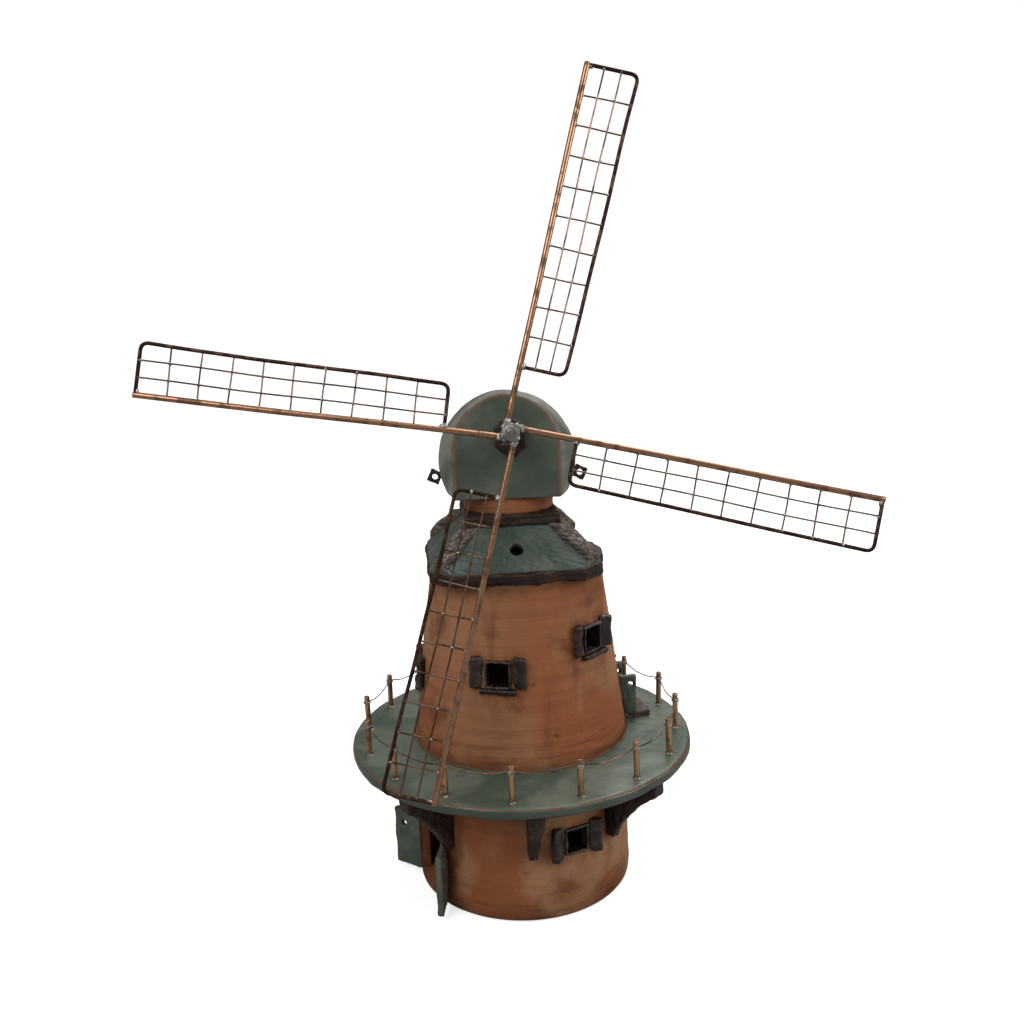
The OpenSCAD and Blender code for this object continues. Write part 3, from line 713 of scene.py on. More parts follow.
@dataclass(frozen=True)
class Terracotta(Finish):
    """Unglazed red-brown clay, smoked and worn, with throwing rings, painted shade at its foot
    and top and painted light high up on its left.
    """

    specular: float = 0.18
    red: Colour = (0.295, 0.098, 0.037)
    tan: Colour = (0.370, 0.190, 0.094)
    dark: Colour = (0.145, 0.044, 0.017)
    # Darkest colour: dark flecks and smoke in hollows, and painted shade at the foot and the top.
    smoke_and_shade: Colour = (0.036, 0.015, 0.009)
    # Share of tan painted high up on the left, as light falling from that side.
    painted_left_light: float = 0.0
    # Heights of the wall's foot and top, and the depth over which shade is painted at each.
    foot_height: float = 0.0
    top_height: float = 0.0
    shade_depth: float = 14.0

    def build(self) -> bpy.types.Material:
        """Mixes red, tan and dark clay by patches and runs, brushes the foot, darkens the
        clay where the attribute stain says so, and paints shade at the foot and the top,
        where the wall stands on or runs under other parts. A share set on the finish paints
        light as tan high up on the left."""
        w, at, shader, made = self.start()
        tan = w.patches(at, 62.0, 0.44, 0.62, (1.0, 1.0, 0.8))
        dark = w.patches(at, 38.0, 0.52, 0.70)
        runs = w.patches(at, 13.0, 0.56, 0.74, (1.0, 1.0, 0.16))
        rings = w.group(Effect.RINGS, {"Vector": at, "Pitch": 4.5})
        fleck = w.patches(at, 2.2, 0.66, 0.74)
        wear = w.group(Effect.EDGES, {"Vector": at, "Low": 0.012, "High": 0.07, "Size": 5.0})
        across, _, height = w.node("SeparateXYZ", {0: at}).outputs
        # Painted light: the clay turns tan high up on the left side, where the light falls.
        side = w.sum("MULTIPLY", w.ramp(across, -0.06, 0.05, self.painted_left_light, 0.0),
                     w.ramp(height, 0.13, 0.21))
        tan = w.sum("MAXIMUM", w.sum("MULTIPLY", tan, 1.0 - 0.5 * self.painted_left_light), side)
        colour = w.blend(tan, self.red, self.tan)
        colour = w.blend(w.sum("MULTIPLY", dark, 0.75), colour, self.dark)
        colour = w.blend(w.sum("MULTIPLY", runs, 0.42), colour, self.dark)
        colour = w.blend(w.sum("MULTIPLY", rings.outputs["Mask"], 0.22), colour, self.dark)
        colour = w.blend(w.sum("MULTIPLY", fleck, 0.35), colour, self.smoke_and_shade)
        brush = w.patches(at, 3.4, 0.5, 0.68, (0.1, 0.1, 1.0))
        foot = w.ramp(height, self.foot_height * MM, (self.foot_height + 46) * MM, 0.5, 0.0)
        colour = w.blend(w.sum("MULTIPLY", brush, foot), colour, self.dark)
        bled = w.node("Attribute", attribute_name="stain").outputs["Fac"]
        blot = w.ramp(w.noise(w.scaled(at, (1.0, 1.0, 0.35)), 120.0, 4), 0.3, 0.68, 0.1, 1.0)
        colour = w.blend(w.sum("MULTIPLY", w.sum("MULTIPLY", bled, blot), 0.85), colour,
                         self.dark)
        # Painted shade: the clay darkens near the foot and the top, where the wall stands on or
        # runs under other parts; noise breaks the shade up.
        reach = self.shade_depth * MM
        cloud = w.ramp(w.noise(at, 45.0, 4), 0.3, 0.75, 0.35, 1.0)
        for edge, side in ((self.foot_height, 1), (self.top_height, -1)):
            near = w.ramp(height, edge * MM, (edge + side * self.shade_depth) * MM, 1.0, 0.0) \
                if side > 0 else w.ramp(height, edge * MM - reach, edge * MM)
            colour = w.blend(w.sum("MULTIPLY", near, w.sum("MULTIPLY", cloud, 0.7)),
                             colour, self.smoke_and_shade)
        colour = w.blend(w.sum("MULTIPLY", wear.outputs["Hollow"], 0.7), colour, self.smoke_and_shade)
        colour = w.blend(w.sum("MULTIPLY", wear.outputs["Raised"], 0.35), colour, self.tan)
        w.feed(shader.inputs["Base Color"], colour)
        w.feed(shader.inputs["Roughness"], w.ramp(w.noise(at, 60.0, 4), 0.25, 0.75, 0.50, 0.70))
        grit = w.group(Effect.GRIT, {"Vector": at, "Size": 1.1, "Pits": 0.35}).outputs[0]
        self.relief(w, shader, [(rings.outputs["Height"], 0.35), (grit, 0.12)])
        return made


@dataclass(frozen=True)
class GreenGlaze(Finish):
    """Satin grey-green glaze that breaks to brown on edges and pools in hollows."""

    specular: float = 0.38
    glaze: Colour = (0.066, 0.092, 0.068)
    pale: Colour = (0.118, 0.142, 0.108)
    deep: Colour = (0.030, 0.046, 0.036)
    brown: Colour = (0.105, 0.046, 0.024)
    pale_share: float = 0.5
    smudge: float = 0.5
    gloss: float = 0.36
    # Colour of painted shade on glaze that does not point up on a slab, and on the cap's flat
    # front.
    face: Colour = (0.042, 0.056, 0.040)
    bare: Colour = (0.022, 0.012, 0.008)
    slab: bool = False

    def build(self) -> bpy.types.Material:
        """Mixes thin, full and pooled glaze, and shows the clay through it on edges. On a
        slab the rim, which does not point up, gets painted shade, the glaze breaks along its
        shoulder and the underside is bare. Two attributes mark other pieces: one paints
        shade on the glaze, and bared marks broken glaze."""
        w, at, shader, made = self.start()
        thin = w.patches(at, 44.0, 0.62 - 0.3 * self.pale_share, 0.78 - 0.25 * self.pale_share)
        pool = w.patches(at, 21.0, 0.55, 0.75)
        smudge = w.patches(at, 27.0, 0.60, 0.78)
        fine = w.patches(at, 3.0, 0.45, 0.72)
        fleck = w.patches(at, 1.5, 0.68, 0.74)
        wear = w.group(Effect.EDGES, {"Vector": at, "Low": 0.014, "High": 0.055, "Size": 7.0})
        colour = w.blend(thin, self.glaze, self.pale)
        colour = w.blend(w.sum("MULTIPLY", pool, 0.6), colour, self.deep)
        colour = w.blend(w.sum("MULTIPLY", w.sum("MULTIPLY", smudge, fine), self.smudge),
                         colour, self.brown)
        colour = w.blend(w.sum("MULTIPLY", fine, 0.14), colour, self.deep)
        colour = w.blend(w.sum("MULTIPLY", fleck, 0.45), colour, self.brown)
        colour = w.blend(w.sum("MULTIPLY", wear.outputs["Hollow"], 0.8), colour, self.deep)
        colour = w.blend(wear.outputs["Raised"], colour, self.brown)
        if self.slab:
            up = w.node("SeparateXYZ", {0: w.node("NewGeometry").outputs["Normal"]}).outputs[2]
            # Painted shade: the rim, which does not point up, is darkened.
            rim = w.ramp(up, 0.30, 0.75, 0.72, 0.0)
            colour = w.blend(rim, colour, self.face)
            line = w.sum("MULTIPLY", w.ramp(up, 0.42, 0.62), w.ramp(up, 0.80, 0.97, 1.0, 0.0))
            broken = w.ramp(w.noise(at, 85.0, 4), 0.38, 0.58, 0.35, 1.0)
            colour = w.blend(w.sum("MULTIPLY", line, broken), colour, self.brown)
            under = w.ramp(up, -0.75, -0.35, 1.0, 0.0)
            colour = w.blend(under, colour, self.bare)
        # Painted shade: the glaze is darkened where this attribute is 1, as on the cap's flat
        # front.
        face = w.node("Attribute", attribute_name="face").outputs["Fac"]
        colour = w.blend(w.sum("MULTIPLY", face, w.ramp(w.noise(at, 42.0, 4), 0.3, 0.7, 0.55,
                                                        1.0)), colour, self.face)
        bared = w.node("Attribute", attribute_name="bared").outputs["Fac"]
        ragged = w.ramp(w.noise(at, 170.0, 4), 0.3, 0.62, 0.3, 1.0)
        colour = w.blend(w.sum("MULTIPLY", bared, ragged), colour, self.brown)
        w.feed(shader.inputs["Base Color"], colour)
        rough = w.ramp(w.noise(at, 90.0, 4), 0.3, 0.7, self.gloss - 0.06, self.gloss + 0.12)
        w.feed(shader.inputs["Roughness"],
               w.sum("ADD", rough, w.sum("MULTIPLY", wear.outputs["Raised"], 0.2), True))
        grit = w.group(Effect.GRIT, {"Vector": at, "Size": 2.6, "Pits": 0.15}).outputs[0]
        self.relief(w, shader, [(w.noise(at, 55.0, 2), 0.7), (grit, 0.09)])
        return made


@dataclass(frozen=True)
class DarkClay(Finish):
    """Clay washed with dark oxide, grey-brown on its high places: partly worn back, partly a
    painted highlight.
    """

    specular: float = 0.3
    wash: Colour = (0.016, 0.009, 0.007)
    # Grey-brown of worn clay, also standing for painted highlights.
    rubbed_highlight: Colour = (0.110, 0.082, 0.066)
    rust: Colour = (0.050, 0.022, 0.013)
    grain: float = 0.0
    # How strongly the worn grey-brown and painted highlight show.
    rub_highlight: float = 0.6
    gloss: float = 0.42

    def build(self) -> bpy.types.Material:
        """Mixes wash, rust and a grey-brown that is partly worn clay and partly painted
        highlight, by patches, edges and combed grain.
        """
        w, at, shader, made = self.start()
        rust = w.patches(at, 12.0, 0.45, 0.7)
        rubbed_highlight = w.patches(at, 7.0, 0.50, 0.70)
        wear = w.group(Effect.EDGES, {"Vector": at, "Low": 0.015, "High": 0.09, "Size": 4.0})
        colour = w.blend(w.sum("MULTIPLY", rust, 0.7), self.wash, self.rust)
        colour = w.blend(w.sum("MULTIPLY", rubbed_highlight, 0.35 * self.rub_highlight), colour, self.rubbed_highlight)
        heights = [(w.noise(at, 160.0, 3), 0.5)]
        if self.grain:
            fibre = w.node("Attribute", attribute_name="fibre").outputs["Vector"]
            lines = w.group(Effect.GRAIN, {"Fibre": fibre, "Pitch": 1.7})
            # Combed grain takes the grey-brown too: partly grain, partly painted highlight.
            colour = w.blend(w.sum("MULTIPLY", lines.outputs["Mask"], self.grain),
                             colour, self.rubbed_highlight)
            heights.append((lines.outputs["Height"], 0.8))
        # Raised edges take the grey-brown: partly wear, partly painted highlight.
        colour = w.blend(w.sum("MULTIPLY", wear.outputs["Raised"], self.rub_highlight),
                         colour, self.rubbed_highlight)
        colour = w.blend(w.sum("MULTIPLY", wear.outputs["Hollow"], 0.9), colour, self.wash)
        w.feed(shader.inputs["Base Color"], colour)
        w.feed(shader.inputs["Roughness"], w.ramp(w.noise(at, 120.0, 4), 0.3, 0.7,
                                                  self.gloss - 0.08, self.gloss + 0.16))
        grit = w.group(Effect.GRIT, {"Vector": at, "Size": 0.9, "Pits": 0.4}).outputs[0]
        self.relief(w, shader, heights + [(grit, 0.14)])
        return made


@dataclass(frozen=True)
class Metal(Finish):
    """Drawn or melted metal with tarnish in patches and fine drawing marks."""

    bright: Colour = (0.5, 0.26, 0.14)
    tarnish: Colour = (0.10, 0.05, 0.03)
    share: float = 0.5
    patch: float = 9.0
    rough: float = 0.28
    marks: float = 0.04

    metallic: float = 1.0

    def build(self) -> bpy.types.Material:
        """Mixes bright and tarnished metal, the tarnish rougher than the rest."""
        w, at, shader, made = self.start()
        stain = w.patches(at, self.patch, 0.64 - 0.3 * self.share, 0.82 - 0.3 * self.share)
        fine = w.patches(at, self.patch / 6, 0.4, 0.75)
        mask = w.sum("ADD", w.sum("MULTIPLY", stain, 0.75), w.sum("MULTIPLY", fine, 0.22), True)
        w.feed(shader.inputs["Base Color"], w.blend(mask, self.bright, self.tarnish))
        w.feed(shader.inputs["Roughness"], w.ramp(mask, 0.0, 1.0, self.rough, self.rough + 0.25))
        grit = w.group(Effect.GRIT, {"Vector": at, "Size": 0.7, "Pits": 0.2}).outputs[0]
        self.relief(w, shader, [(w.noise(at, 420.0, 3), self.marks), (grit, self.marks)])
        return made


class Palette:
    """Every finish of the windmill, each built once."""

    def __init__(self) -> None:
        """Builds the materials."""
        self.drum_clay = Terracotta("drum clay", foot_height=0, top_height=106,
                                    shade_depth=18).build()
        self.tower_clay = Terracotta("tower clay", foot_height=114, top_height=246,
                                     shade_depth=12, painted_left_light=0.8).build()
        self.neck_clay = Terracotta("neck clay", red=(0.29, 0.092, 0.034),
                                    tan=(0.30, 0.125, 0.055), foot_height=289,
                                    top_height=302, shade_depth=4).build()
        self.gallery_glaze = GreenGlaze("gallery glaze", pale_share=0.85, smudge=0.85,
                                        pale=(0.135, 0.162, 0.124), slab=True,
                                        face=(0.036, 0.048, 0.034), gloss=0.31,
                                        brown=(0.130, 0.052, 0.024)).build()
        # Painted sheen: the cap's glaze and pale colours are lighter than the other glazes',
        # partly standing for the sheen that light leaves on the dome; its flat front gets painted
        # shade.
        self.cap_glaze = GreenGlaze("cap glaze", pale_share=0.8, smudge=0.3, gloss=0.30,
                                    glaze=(0.100, 0.118, 0.092), pale=(0.215, 0.222, 0.188),
                                    face=(0.070, 0.090, 0.065),
                                    brown=(0.165, 0.066, 0.030)).build()
        self.roof_glaze = GreenGlaze("roof glaze", pale_share=0.15, smudge=0.8, gloss=0.28,
                                     glaze=(0.048, 0.070, 0.052), pale=(0.072, 0.094, 0.068),
                                     brown=(0.095, 0.045, 0.026)).build()
        self.leaf_glaze = GreenGlaze("door glaze", pale_share=0.45, smudge=0.6).build()
        self.foot_glaze = GreenGlaze("foot glaze", pale_share=1.0, smudge=0.7).build()
        self.dark_clay = DarkClay("dark clay", specular=0.45, rub_highlight=0.85, gloss=0.33,
                                  wash=(0.011, 0.006, 0.005), rust=(0.046, 0.019, 0.011),
                                  rubbed_highlight=(0.125, 0.096, 0.080)).build()
        self.combed_clay = DarkClay("combed clay", grain=0.85, rub_highlight=0.8,
                                    wash=(0.046, 0.032, 0.026), rust=(0.085, 0.050, 0.036),
                                    rubbed_highlight=(0.290, 0.238, 0.205)).build()
        self.bracket_clay = DarkClay("bracket clay", specular=0.35, grain=0.25, rub_highlight=0.3,
                                     wash=(0.009, 0.0035, 0.0025),
                                     rust=(0.052, 0.019, 0.010),
                                     rubbed_highlight=(0.058, 0.032, 0.022), gloss=0.36).build()
        self.eaves_clay = DarkClay("eaves clay", specular=0.25, grain=0.35, rub_highlight=0.35,
                                   wash=(0.012, 0.005, 0.0035), rust=(0.040, 0.016, 0.009),
                                   rubbed_highlight=(0.070, 0.040, 0.029)).build()
        self.collar_clay = DarkClay("collar clay", specular=0.25, grain=0.45, rub_highlight=0.5,
                                    wash=(0.014, 0.007, 0.005), rust=(0.058, 0.026, 0.015),
                                    rubbed_highlight=(0.105, 0.068, 0.050)).build()
        self.step_clay = DarkClay("step clay", rub_highlight=1.0, wash=(0.050, 0.037, 0.031),
                                  rust=(0.12, 0.085, 0.068),
                                  rubbed_highlight=(0.250, 0.205, 0.175)).build()
        self.copper = Metal("copper tube", share=0.55, bright=(0.40, 0.215, 0.125),
                            tarnish=(0.105, 0.056, 0.035), rough=0.26).build()
        self.post_copper = Metal("post copper", share=0.5, bright=(0.52, 0.30, 0.175),
                                 tarnish=(0.17, 0.095, 0.058), rough=0.30).build()
        self.foot_solder = Metal("post foot solder", share=0.6, bright=(0.36, 0.29, 0.23),
                                 tarnish=(0.085, 0.060, 0.045), patch=2.5, rough=0.36,
                                 marks=0.08).build()
        self.dark_copper = Metal("blackened copper", share=0.9, bright=(0.115, 0.060, 0.038),
                                 tarnish=(0.022, 0.013, 0.010), rough=0.36).build()
        self.lattice = Metal("lattice wire", share=0.6, bright=(0.22, 0.135, 0.09),
                             tarnish=(0.038, 0.024, 0.018), patch=16.0, rough=0.32).build()
        self.solder = Metal("solder", share=0.5, bright=(0.44, 0.43, 0.41),
                            tarnish=(0.125, 0.110, 0.095), patch=3.0, rough=0.36,
                            marks=0.1).build()
        self.steel = Metal("hub steel", share=0.6, bright=(0.27, 0.26, 0.24),
                           tarnish=(0.095, 0.082, 0.070), patch=5.0, rough=0.40,
                           marks=0.08).build()


# ---------------------------------------------------------------- the mill


@dataclass
class Drum:
    """The round base with its doorway, three windows and two door leaves."""

    radius: float = 82.0
    height: float = 106.0
    wall: float = 7.0
    foot_round: float = 5.0
    doorway: Opening = Opening(-64, 44, 6, 53)
    windows: tuple[float, ...] = (27, 117, 207)
    window_w: float = 18.6
    window_low: float = 50.2
    window_high: float = 69.8

    def outer(self, z: np.ndarray) -> np.ndarray:
        """Radius of the outside, with a quarter round at the foot."""
        under = np.clip(self.foot_round - z, 0, self.foot_round)
        return (self.radius - self.foot_round
                + np.sqrt(np.maximum(self.foot_round ** 2 - under ** 2, 0)))

    def uneven(self, points: np.ndarray) -> np.ndarray:
        """Thrown unevenness: wide waves, flat rings, and nothing at the floor."""
        flat = points * [0.25, 0.25, 1]
        fade = np.clip(points[:, 2] / 6, 0, 1)
        return fade * (0.35 * sway(points, 60, 3) + 0.13 * sway(flat, 7, 4) - 0.15)

    def make(self, shop: Workshop, paint: Palette) -> None:
        """Builds the wall, floor, linings, shutters and door leaves."""
        openings = [self.doorway, *(Opening(d if d < 180 else d - 360, self.window_w,
                                            self.window_low, self.window_high)
                                    for d in self.windows)]
        wall = pierced_wall(self.outer, self.wall, 0, self.height, openings, 1.4, self.uneven)
        mesh = mesh_of("wall", wall)
        give_value(mesh, "stain", stains(wall.points, openings))
        shop.add("drum_thrown_wall", mesh, Body.MILL, Slot.TERRACOTTA, paint.drum_clay,
                 "drum_wall")
        shop.dress("drum_floor", paint.drum_clay)
        shop.add("drum_lining_slabs", softened("drum_window_linings", 0.55, 5, 0.25, 9, 0.3, 11),
                 Body.MILL, Slot.BROWN_CLAY, paint.dark_clay, "drum_window_linings")
        shop.add("drum_shutter_slabs", softened("drum_shutters", 0.6, 7, 0.4, 9, 0.45, 12),
                 Body.MILL, Slot.BROWN_CLAY, paint.dark_clay, "drum_shutters")
        for side, seed in (("left", 13), ("right", 14)):
            shop.add(f"drum_door_slab_{side}",
                     softened(f"drum_door_leaf_{side}", 0.7, 5, 0.35, 17, 0.3, seed),
                     Body.MILL, Slot.GREEN_GLAZE, paint.leaf_glaze, f"drum_door_leaf_{side}")


@dataclass
class Gallery:
    """The round slab that people would walk on, and the brackets under it."""

    low: float = 106.0
    high: float = 114.5
    radius: float = 130.0
    edge: float = 3.2
    bracket_turn: float = 4.0
    bracket_step: float = 45.0
    bracket_heights: tuple[float, ...] = (53, 80, 106)
    bracket_widths: tuple[float, ...] = (0.72, 0.92, 1.1)

    def slab(self) -> Surface:
        """The slab: a flat disc whose rim is rounded above and below, turned round the
        axis, its rim drawn in and its top raised or sunk by a smooth unevenness."""
        corner = np.linspace(0, np.pi / 2, 7)
        inset, e = self.radius - self.edge, self.edge
        top = np.stack([np.concatenate([[0.5], np.linspace(8, inset, 52)]),
                        np.full(53, self.high)], -1)
        shoulder = np.stack([inset + e * np.sin(corner), self.high - e + e * np.cos(corner)], -1)
        hip = np.stack([inset + e * np.cos(corner), self.low + e - e * np.sin(corner)], -1)
        under = top[::-1] * [1, 0] + [0, self.low]
        made = turned(np.vstack([top, shoulder[1:], hip, under[1:]]), 260)
        p = made.points
        r = np.hypot(p[:, 0], p[:, 1])
        rim = np.clip((r - 84) / 46, 0, 1)
        pull = rim * (0.35 + 0.35 * sway(p * [1, 1, 0.3], 48, 5) + 0.12 * sway(p, 14, 6))
        factor = 1 - np.clip(pull, 0, 1.5) / np.maximum(r, 1)
        p[:, :2] *= factor[:, None]
        p[:, 2] += np.where(p[:, 2] > self.low + 2, 1, -1) * rim * (
            0.18 * sway(p * [1, 1, 0], 34, 7) - 0.08)
        return made

    def brackets(self) -> bpy.types.Mesh:
        """Softened brackets that are wide at the top and narrow at the toe: the distance
        across each one is scaled by the width that belongs to its height."""
        mesh = softened("gallery_brackets", 0.85, 7, 0.5, 15, 0.4, 21)
        p = points_of(mesh)
        turn = np.degrees(np.arctan2(p[:, 0], -p[:, 1]))
        nearest = (np.round((turn - self.bracket_turn) / self.bracket_step)
                   * self.bracket_step + self.bracket_turn)
        out = outwards(nearest)
        side = np.stack([-out[:, 1], out[:, 0], 0 * nearest], -1)
        across = np.einsum("ij,ij->i", p, side)
        along = np.einsum("ij,ij->i", p, out)
        width = np.interp(p[:, 2], self.bracket_heights, self.bracket_widths)
        set_points(mesh, p + ((width - 1) * across)[:, None] * side)
        give_fibres(mesh, along + p[:, 2], along - p[:, 2], across)
        return mesh

    def make(self, shop: Workshop, paint: Palette) -> None:
        """Builds the slab and the brackets."""
        shop.add("gallery_slab", self.slab(), Body.MILL, Slot.GREEN_GLAZE,
                 paint.gallery_glaze, "gallery_deck")
        shop.add("gallery_bracket_slabs", self.brackets(), Body.MILL, Slot.BROWN_CLAY,
                 paint.bracket_clay, "gallery_brackets")


@dataclass
class Railing:
    """Sixteen tube posts soldered down, and the wire looped from one to the next."""

    count: int = 16
    turn: float = 19.0
    ring: float = 119.0
    deck: float = 114.5
    height: float = 27.0
    radius: float = 2.1
    wire: float = 0.5
    drop: float = 5.0
    sag: float = 3.3

    def places(self) -> tuple[np.ndarray, np.ndarray]:
        """Foot of each post, and the 3 x 3 matrix that leans it a degree or so."""
        rng = np.random.default_rng(8)
        turn = self.turn + np.arange(self.count) * 360 / self.count
        feet = self.ring * outwards(turn) + [0, 0, self.deck]
        lean = rng.normal(0, 0.012, (self.count, 2))
        turns = np.tile(np.eye(3), (self.count, 1, 1))
        turns[:, 0, 2], turns[:, 1, 2] = lean[:, 0], lean[:, 1]
        return feet, turns

    def post(self) -> Surface:
        """A sawn-off tube: outer wall, rounded lip, and the bore as deep as one sees."""
        r, h, bore = self.radius, self.height, self.radius - 0.65
        outer = [(r, -0.5), (r, 0.4 * h), (r * 0.985, 0.7 * h), (r, h - 0.5), (r - 0.1, h - 0.12)]
        lip = [(r - 0.3, h), (bore + 0.12, h - 0.03), (bore, h - 0.3)]
        return turned(np.array([(0.4, -0.5), *outer, *lip, (bore, h - 7), (0.3, h - 7.2)]), 16)

    def fillet(self) -> Surface:
        """A ring of solder at the foot, hollowed like a fillet: r falls as z rises."""
        t = np.linspace(0, 1, 7)
        skirt = np.stack([3.1 - 0.95 * np.sin(t * np.pi / 2) ** 0.7, 2.0 * t ** 1.6], -1)
        return turned(np.vstack([[0.5, -0.4], [3.1, -0.4], skirt, [1.5, 2.1]]), 16)

    def tie(self) -> Surface:
        """Two turns of wire wound round the post: a coil that climbs as it turns."""
        t = np.linspace(0, 1, 44)
        angle = 2 * np.pi * 2.1 * t
        r = self.radius + 0.42
        path = np.stack([r * np.cos(angle), r * np.sin(angle),
                         self.height - self.drop - 1.1 + 2.0 * t], -1)
        return tube(path, 0.42, (0, 0, 1), 7)

    def wires(self, feet: np.ndarray, turns: np.ndarray) -> Surface:
        """The wire in each span: straight between its ties less four times the sag
        times t (1 - t)."""
        rng = np.random.default_rng(9)
        ties = feet + np.einsum("kij,j->ki", turns, [0, 0, self.height - self.drop])
        spans = []
        for start, end in zip(ties, np.roll(ties, -1, 0)):
            t = np.linspace(0, 1, 20)[:, None]
            gap = (end - start) / np.linalg.norm(end - start) * (self.radius + 0.2)
            path = (start + gap) * (1 - t) + (end - gap) * t
            path[:, 2:] -= 4 * self.sag * rng.uniform(0.75, 1.08) * t * (1 - t)
            path += 0.12 * sway(path, 11, int(rng.integers(99)))[:, None] * [1, 1, 1]
            spans.append(tube(path, self.wire, (0, 0, 1), 8))
        return joined(spans)

    def make(self, shop: Workshop, paint: Palette) -> None:
        """Builds posts, solder, ties and wire."""
        feet, turns = self.places()
        rng = np.random.default_rng(10)
        spin = [facing(a) for a in rng.uniform(0, 360, self.count)]
        turned_ = np.einsum("kij,kjl->kil", turns, np.array(spin))
        shop.add("railing_tubes", self.post().outward().repeated(turned_, feet), Body.MILL,
                 Slot.COPPER, paint.post_copper, "railing_posts")
        rings = self.fillet().outward().repeated(turned_, feet)
        rings.points[:, :2] += 0.16 * sway(rings.points, 3, 31)[:, None]
        shop.add("railing_post_solder", rings, Body.MILL, Slot.SOLDER_STEEL,
                 paint.foot_solder)
        shop.add("railing_ties", self.tie().outward().repeated(turned_, feet), Body.MILL,
                 Slot.COPPER, paint.solder)
        shop.add("railing_strands", self.wires(feet, turns), Body.MILL, Slot.COPPER,
                 paint.lattice, "railing_wire")


@dataclass
class Tower:
    """The tapering wall above the gallery with its five windows and its doorway."""

    low: float = 114.5
    high: float = 246.0
    foot_r: float = 82.0
    top_r: float = 64.0
    wall: float = 7.0
    back: float = 5.0
    window_w: float = 18.6
    window_turns: tuple[float, ...] = (-158, -85, -12, 49, 134)
    window_sill: float = 140.5
    window_rise: float = 16.5
    window_h: float = 20.0
    doorway: Opening = Opening(104, 22, 114.5, 156.5)

    def outer(self, z: np.ndarray) -> np.ndarray:
        """Radius of the outside: it tapers evenly from foot to top."""
        return self.foot_r + (self.top_r - self.foot_r) * (z - self.low) / (self.high - self.low)

    def uneven(self, points: np.ndarray) -> np.ndarray:
        """Thrown unevenness: wide waves and flat finger rings that fade upwards."""
        flat = points * [0.2, 0.2, 1]
        rings = np.interp(points[:, 2], [self.low, self.low + 30, self.high], [0.22, 0.1, 0.06])
        return 0.4 * sway(points, 66, 15) + rings * sway(flat, 6.5, 16) - 0.1

    def seam(self) -> Surface:
        """A roll of slip pressed round the foot: a ring whose thickness comes and goes."""
        angle = np.linspace(0, 360, 220, endpoint=False)
        path = (self.foot_r + 0.3) * outwards(angle) + [0, self.back, self.low + 0.4]
        thick = 0.85 + 0.3 * sway(path, 16, 17)
        return tube(path, np.clip(thick, 0.45, 1.5), (0, 0, 1), 8, loop=True)

    def pips(self) -> Surface:
        """Low domes of stray clay on the wall: half balls that lean out of it."""
        spots = np.array([(19, 139, 1.2), (48, 128, 0.9), (-30, 201, 0.9), (8, 176, 0.7),
                          (88, 170, 1.0), (170, 150, 1.1), (-120, 214, 0.9)])
        radius = self.outer(spots[:, 1])
        centres = radius[:, None] * outwards(spots[:, 0]) + [0, self.back, 0]
        centres[:, 2] = spots[:, 1]
        sizes = spots[:, 2:3] * [0.8, 1.2, 1.2]
        return lumps(centres, sizes, np.array([facing(d) for d in spots[:, 0]]), 18)

    def make(self, shop: Workshop, paint: Palette) -> None:
        """Builds the wall, seam, linings, sills, shutters, door leaves and step."""
        sills = self.window_sill + self.window_rise * np.arange(5)
        openings = [self.doorway, *(
            Opening(turn, self.window_w, float(z) + 0.2, float(z) + self.window_h - 0.2)
            for turn, z in zip(self.window_turns, sills))]
        wall = pierced_wall(self.outer, self.wall, self.low, self.high, openings, 1.4,
                            self.uneven)
        bled = stains(wall.points, openings)
        wall.points[:, 1] += self.back
        mesh = mesh_of("wall", wall)
        give_value(mesh, "stain", bled)
        shop.add("tower_thrown_wall", mesh, Body.MILL, Slot.TERRACOTTA, paint.tower_clay,
                 "tower_wall")
        shop.add("tower_foot_seam", self.seam(), Body.MILL, Slot.GREEN_GLAZE,
                 paint.foot_glaze)
        shop.add("tower_pips", self.pips(), Body.MILL, Slot.TERRACOTTA, paint.neck_clay)
        slabs = (("tower_window_linings", "tower_lining_slabs", 0.55, 5, 0.25, 9, 0.3),
                 ("tower_window_sills", "tower_sill_slabs", 0.5, 4, 0.25, 7, 0.3),
                 ("tower_shutters", "tower_shutter_slabs", 0.6, 7, 0.4, 9, 0.45))
        for seed, (node, name, voxel, rounds, uneven, wave, swell) in enumerate(slabs, 40):
            shop.add(name, softened(node, voxel, rounds, uneven, wave, swell, seed), Body.MILL,
                     Slot.BROWN_CLAY, paint.dark_clay, node)
        for side, seed in (("near", 43), ("far", 44)):
            shop.add(f"gallery_door_slab_{side}",
                     softened(f"gallery_door_leaf_{side}", 0.65, 5, 0.35, 15, 0.3, seed),
                     Body.MILL, Slot.GREEN_GLAZE, paint.leaf_glaze, f"gallery_door_leaf_{side}")
        shop.add("gallery_door_block", softened("gallery_door_step", 0.6, 6, 0.4, 10, 0.35, 45),
                 Body.MILL, Slot.BROWN_CLAY, paint.step_clay, "gallery_door_step")


